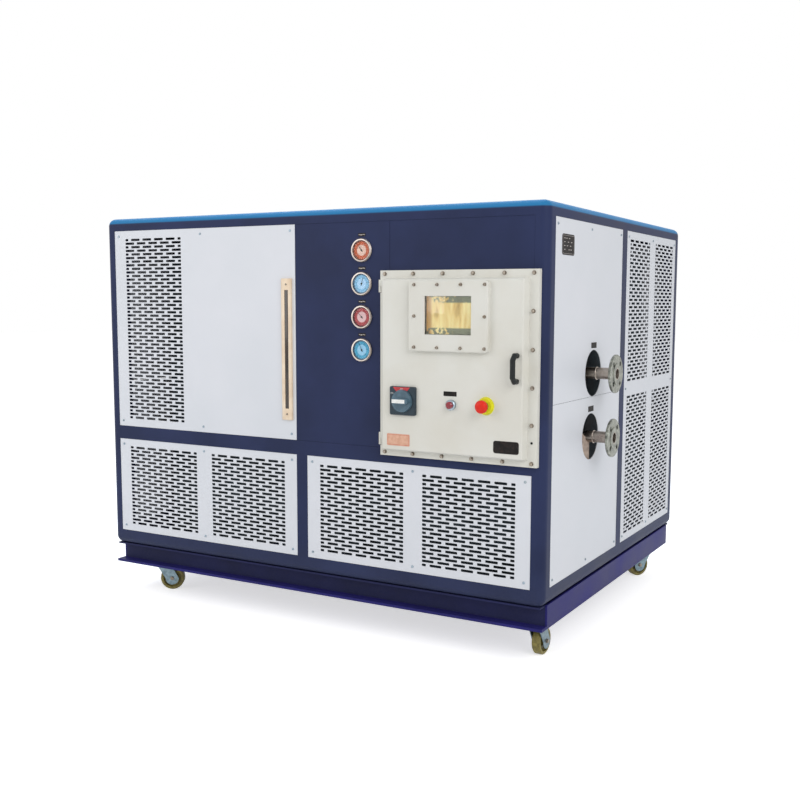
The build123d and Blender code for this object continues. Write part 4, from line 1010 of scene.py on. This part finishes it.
def makeControls():
    low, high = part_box("switch_base")
    face = low.y + control["baseMm"] * mm  # face of the base, behind its shaft
    top, foot, tall = metres(control["stripMm"])
    centre = (low.x + high.x) / 2 + control["stripShiftMm"] * mm
    head = high.z - control["stripDownMm"] * mm
    strip = patch(centre - top / 2, centre + top / 2, head - tall, head)
    narrowed(strip, foot / top, lambda point: point.co.y < head - 1 * mm)
    finishPiece(standUp([strip], "switch-red-strip", "front", (0, face - control["stripLiftMm"] * mm, 0)),
                "control_door", "redFoil")
    size = control["wordMm"] * mm
    across, up = metres(control["onMm"])
    words = [flatText("ON", size, low.x + across, (low.z + high.z) / 2 + up),
             flatText("OFF", size, centre, high.z - control["offDownMm"] * mm)]
    finishPiece(standUp(words, "on-off-words", "front", (0, face - control["wordLiftMm"] * mm, 0)),
                "control_door", "white")
    # white marker let into the lever
    face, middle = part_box("switch_knob")[0].y, middleOf("switch_knob")
    x, z = middle.x + control["markerShiftMm"] * mm, middle.z
    wide, tall = (value / 2 * mm for value in control["markerMm"])
    marker = bar((x - wide, x + wide), [face + size for size in metres(control["markerFaceMm"])],
                 (z - tall, z + tall))
    finishPiece(rounded(marker, control["markerEdgeMm"] * mm), "switch_lever", "white",
                name="lever-marker")
    # metal bezel round the stop button's stem, hollowed in front and open through the middle
    radius, deep = metres(control["bezelMm"])
    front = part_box("stop_collar")[0].y
    outer, inner, rear = metres(control["bezelRimsMm"])
    middle = middleOf("stop_button")
    ring = rod(radius, deep, (middle.x, front - deep / 2, middle.z))
    pick(ring, "FACE", lambda face: face.normal.y < -squareOn)
    inset(outer, (0, control["bezelDishMm"] * mm, 0))
    inset(inner)
    bpy.ops.mesh.delete(type="FACE")
    pick(ring, "FACE", lambda face: face.normal.y > squareOn)
    inset(rear)
    bpy.ops.mesh.delete(type="FACE")
    bpy.ops.mesh.select_mode(type="EDGE")
    bpy.ops.mesh.select_non_manifold()
    bpy.ops.mesh.bridge_edge_loops()
    letGo()
    finishPiece(smooth(ring), "control_door", "zinc", name="stop-bezel")


makeControls()
print("door controls made")


# colours, glow and sizes of the screen's painted reflection
screenLook = {"deep": "#a8803e", "mid": "#e6c680", "pale": "#f8e6ac", "tan": "#bf8848", "shade": "#5a6a62",
              "paintedReflectionGlow": 0.25, "stretch": (1, 1, 0.22), "streakMm": 26, "blotMm": 13, "tanMm": (14, 24),
              "reflectionBandMm": (24, 20), "denserMm": (60, 120), "insetMm": 8, "gapMm": 0.5, "backMm": 1.0,
              "thickMm": 2, "rimMm": 1.2, "dishMm": 0.6, "housingMm": 8, "stepMm": 12, "edgeMm": 0.8}


def makeDisplay():
    low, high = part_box("window_glass")
    rim, gap = screenLook["insetMm"] * mm, screenLook["gapMm"] * mm
    x0, z0, z1 = low.x + rim, low.z + rim, high.z - rim
    x, z = (x0 + gap, high.x - rim - gap), (z0 + gap, z1 - gap)
    front = high.y + screenLook["backMm"] * mm
    back = front + screenLook["thickMm"] * mm
    deep = screenLook["housingMm"] * mm
    # the screen's colours and faint glow are a painted reflection
    screen = dished(bar(x, (front, back), z), screenLook["rimMm"], screenLook["dishMm"])
    coats["display"] = screenWithPaintedReflection("displayWithPaintedReflection", screenLook, x0, z0, z1)
    finishPiece(screen, "control_door", "display", name="display-screen")
    # housing behind it, stepped in towards its back
    housing = bar(x, (back, back + deep), z)
    pick(housing, "FACE", lambda face: face.normal.y > squareOn)
    inset(screenLook["stepMm"] * mm, (0, deep, 0), True)
    letGo()
    finishPiece(rounded(housing, screenLook["edgeMm"] * mm), "control_door", "black",
                name="display-housing")


makeDisplay()
print("display made")


# weld: places from the flange's inner edge and from the panel, radius, ripple's size and height
pipe = {"tubeMm": 42.4, "flangeMm": 140, "weldMm": 2.6, "weldGrowMm": 0.4, "weldPlacesMm": (-3, 14),
        "rippleMm": (4, 0.5), "foamMm": 92, "foamInsideMm": 52, "foamDownMm": 150,
        "dome": ((0.30, 0.275), (0.30, 0.15), (0.2, 0.06))}


def weldBead(x, y, z, ripple):
    letGo()
    bpy.ops.mesh.primitive_torus_add(
        major_radius=(pipe["tubeMm"] / 2 + pipe["weldGrowMm"]) * mm, minor_radius=pipe["weldMm"] * mm,
        major_segments=48, minor_segments=8, location=(x, y, z), rotation=(0, math.pi / 2, 0))
    return withModifier(settle(bpy.context.object), "DISPLACE", strength=pipe["rippleMm"][1] * mm,
                        mid_level=0.5, texture=ripple, texture_coords="LOCAL")


def makePipeTrim():
    low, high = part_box("pipe_flanges")
    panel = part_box("upper_pipe_panel")[1].x
    reach = pipe["flangeMm"] / 2 * mm
    spots = ((high.y - reach, high.z - reach), (low.y + reach, low.z + reach))
    inner, outer = metres(pipe["weldPlacesMm"])
    ripple = bpy.data.textures.new("weldRipple", "CLOUDS")
    ripple.noise_scale = pipe["rippleMm"][0] * mm
    welds = [weldBead(x, y, z, ripple) for y, z in spots for x in (low.x + inner, panel + outer)]
    finishPiece(smooth(joined(welds, "weld-beads"), 60), "cabinet", "pipe")
    # foam elbow inside the lower hole: a standing sleeve with a domed top
    y, z = spots[1]
    foam, down = pipe["foamMm"] / 2 * mm, pipe["foamDownMm"] * mm
    sleeve = rod(foam, down, (panel - pipe["foamInsideMm"] * mm, y, z - down / 2), (0, 0, 0))
    pick(sleeve, "FACE", lambda face: face.normal.z > squareOn)
    for share, rise in pipe["dome"]:
        inset(foam * share, (0, 0, foam * rise))
    letGo()
    finishPiece(smooth(sleeve, 50), "cabinet", "foam", name="foam-pipe-elbow")


makePipeTrim()
print("pipe trim made")


axleNut = {**hexHead, "headMm": 14.5, "headHighMm": 4.4, "outMm": 22.2}
plateBolt = {**hexHead, "headMm": 14, "headHighMm": 5, "spreadMm": (40, 32), "plateMm": 4}


def makeCasterTrim():
    joints = {item["name"]: item for item in frame["joints"]}
    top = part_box("caster_plates")[1].z - plateBolt["plateMm"] * mm
    along, across = metres(plateBolt["spreadMm"])
    platePlaces = []
    for name in ("front_left", "front_right", "rear_left", "rear_right"):
        x, y = joints["swivel_" + name]["pos_m"][:2]
        platePlaces += [((x + dx, y + dy, top), (math.pi / 2, 0, 0)) for dx in (-along, along)
                        for dy in (-across, across)]
        roll = joints["roll_" + name]
        centre = Vector(roll["pos_m"])
        places = []
        for side in (-1, 1):
            out = Vector(roll["axis"]) * side
            turn = math.atan2(out.y, out.x) + math.pi / 2  # the head stands towards -Y before the turn
            places.append((tuple(centre + out * axleNut["outMm"] * mm), (0, 0, turn)))
        finishPiece(copiesOf(makeHead(axleNut), places, "axle-nuts-" + name.replace("_", "-")),
                    "fork_" + name, "bolt")
    finishPiece(copiesOf(makeHead(plateBolt), platePlaces, "caster-plate-bolts"), "cabinet", "bolt")


makeCasterTrim()
print("caster trim made")


# lamps: name, place, turn in degrees, size, watts and colour
studio = {
    "floorSize": 60, "floor": "#f0f0f0", "floorLift": 0.6, "worldStrength": 0.58,
    "lamps": (("key-softbox", (4.6, -3.4, 3.6), (62, 0, 54), 3.2, 115, "#ffffff"),
              ("fill-softbox", (-3.6, -5.0, 2.8), (68, 0, -34), 3.6, 84, "#ffffff"),
              ("top-softbox", (-0.9, 1.1, 3.2), (0, 0, 0), 3.6, 90, "#d8ecff")),
    "cameraPlace": (2.20505, -3.8272, 1.23835), "cameraTurn": (83.8650, -0.2992, 28.5795),
    "camera": {"lens": 45.662, "sensor_width": 36, "shift_x": -0.0432, "shift_y": 0.01475, "clip_end": 200},
}


def liftedRays(tree):
    # what the camera sees, also in a mirror or through glass, apart from the light on the object
    ray = addNode(tree, "LightPath")
    seen = addNode(tree, "Math", {}, {0: (ray, "Is Camera Ray"), 1: (ray, "Is Transmission Ray")},
                   operation="MAXIMUM")
    return addNode(tree, "Math", {}, {0: (seen, "Value"), 1: (ray, "Is Glossy Ray")}, operation="MAXIMUM")


def makeStudio():
    letGo()
    bpy.ops.mesh.primitive_plane_add(size=studio["floorSize"])
    floor = bpy.context.object
    floor.name = "studio-floor"
    made, (tree, _, surface) = startMaterial("paleStudioVinyl", {
        "Roughness": 0.9, "Specular IOR Level": 0.1, "Base Color": hexColour(studio["floor"]),
        "Emission Color": (1, 1, 1, 1)})
    lift = addNode(tree, "Math", {1: studio["floorLift"]}, {0: (liftedRays(tree), "Value")},
                   operation="MULTIPLY")
    tree.links.new(lift.outputs["Value"], surface.inputs["Emission Strength"])
    floor.data.materials.append(made)
    world = bpy.data.worlds.new("paleStudio")
    bpy.context.scene.world = world
    world.use_nodes = True
    tree = world.node_tree
    tree.nodes.clear()
    strength = addNode(tree, "MapRange", ranged(0.0, 1.0, studio["worldStrength"], 1.0),
                       {"Value": (liftedRays(tree), "Value")})
    sky = addNode(tree, "Background", {"Color": (1, 1, 1, 1)}, {"Strength": (strength, "Result")})
    addNode(tree, "OutputWorld", links={"Surface": (sky, "Background")})
    for name, place, turn, size, watts, colour in studio["lamps"]:
        letGo()
        bpy.ops.object.light_add(type="AREA", location=place, rotation=[math.radians(angle) for angle in turn])
        lamp = bpy.context.object
        lamp.name = name
        setAll(lamp.data, {"size": size, "energy": watts, "color": hexColour(colour)[:3]})
    letGo()
    bpy.ops.object.camera_add(location=studio["cameraPlace"],
                              rotation=[math.radians(angle) for angle in studio["cameraTurn"]])
    camera = bpy.context.object
    setAll(camera.data, studio["camera"])
    bpy.context.scene.camera = camera
    bpy.context.scene.view_settings.view_transform = "Standard"


makeStudio()
print("studio made")
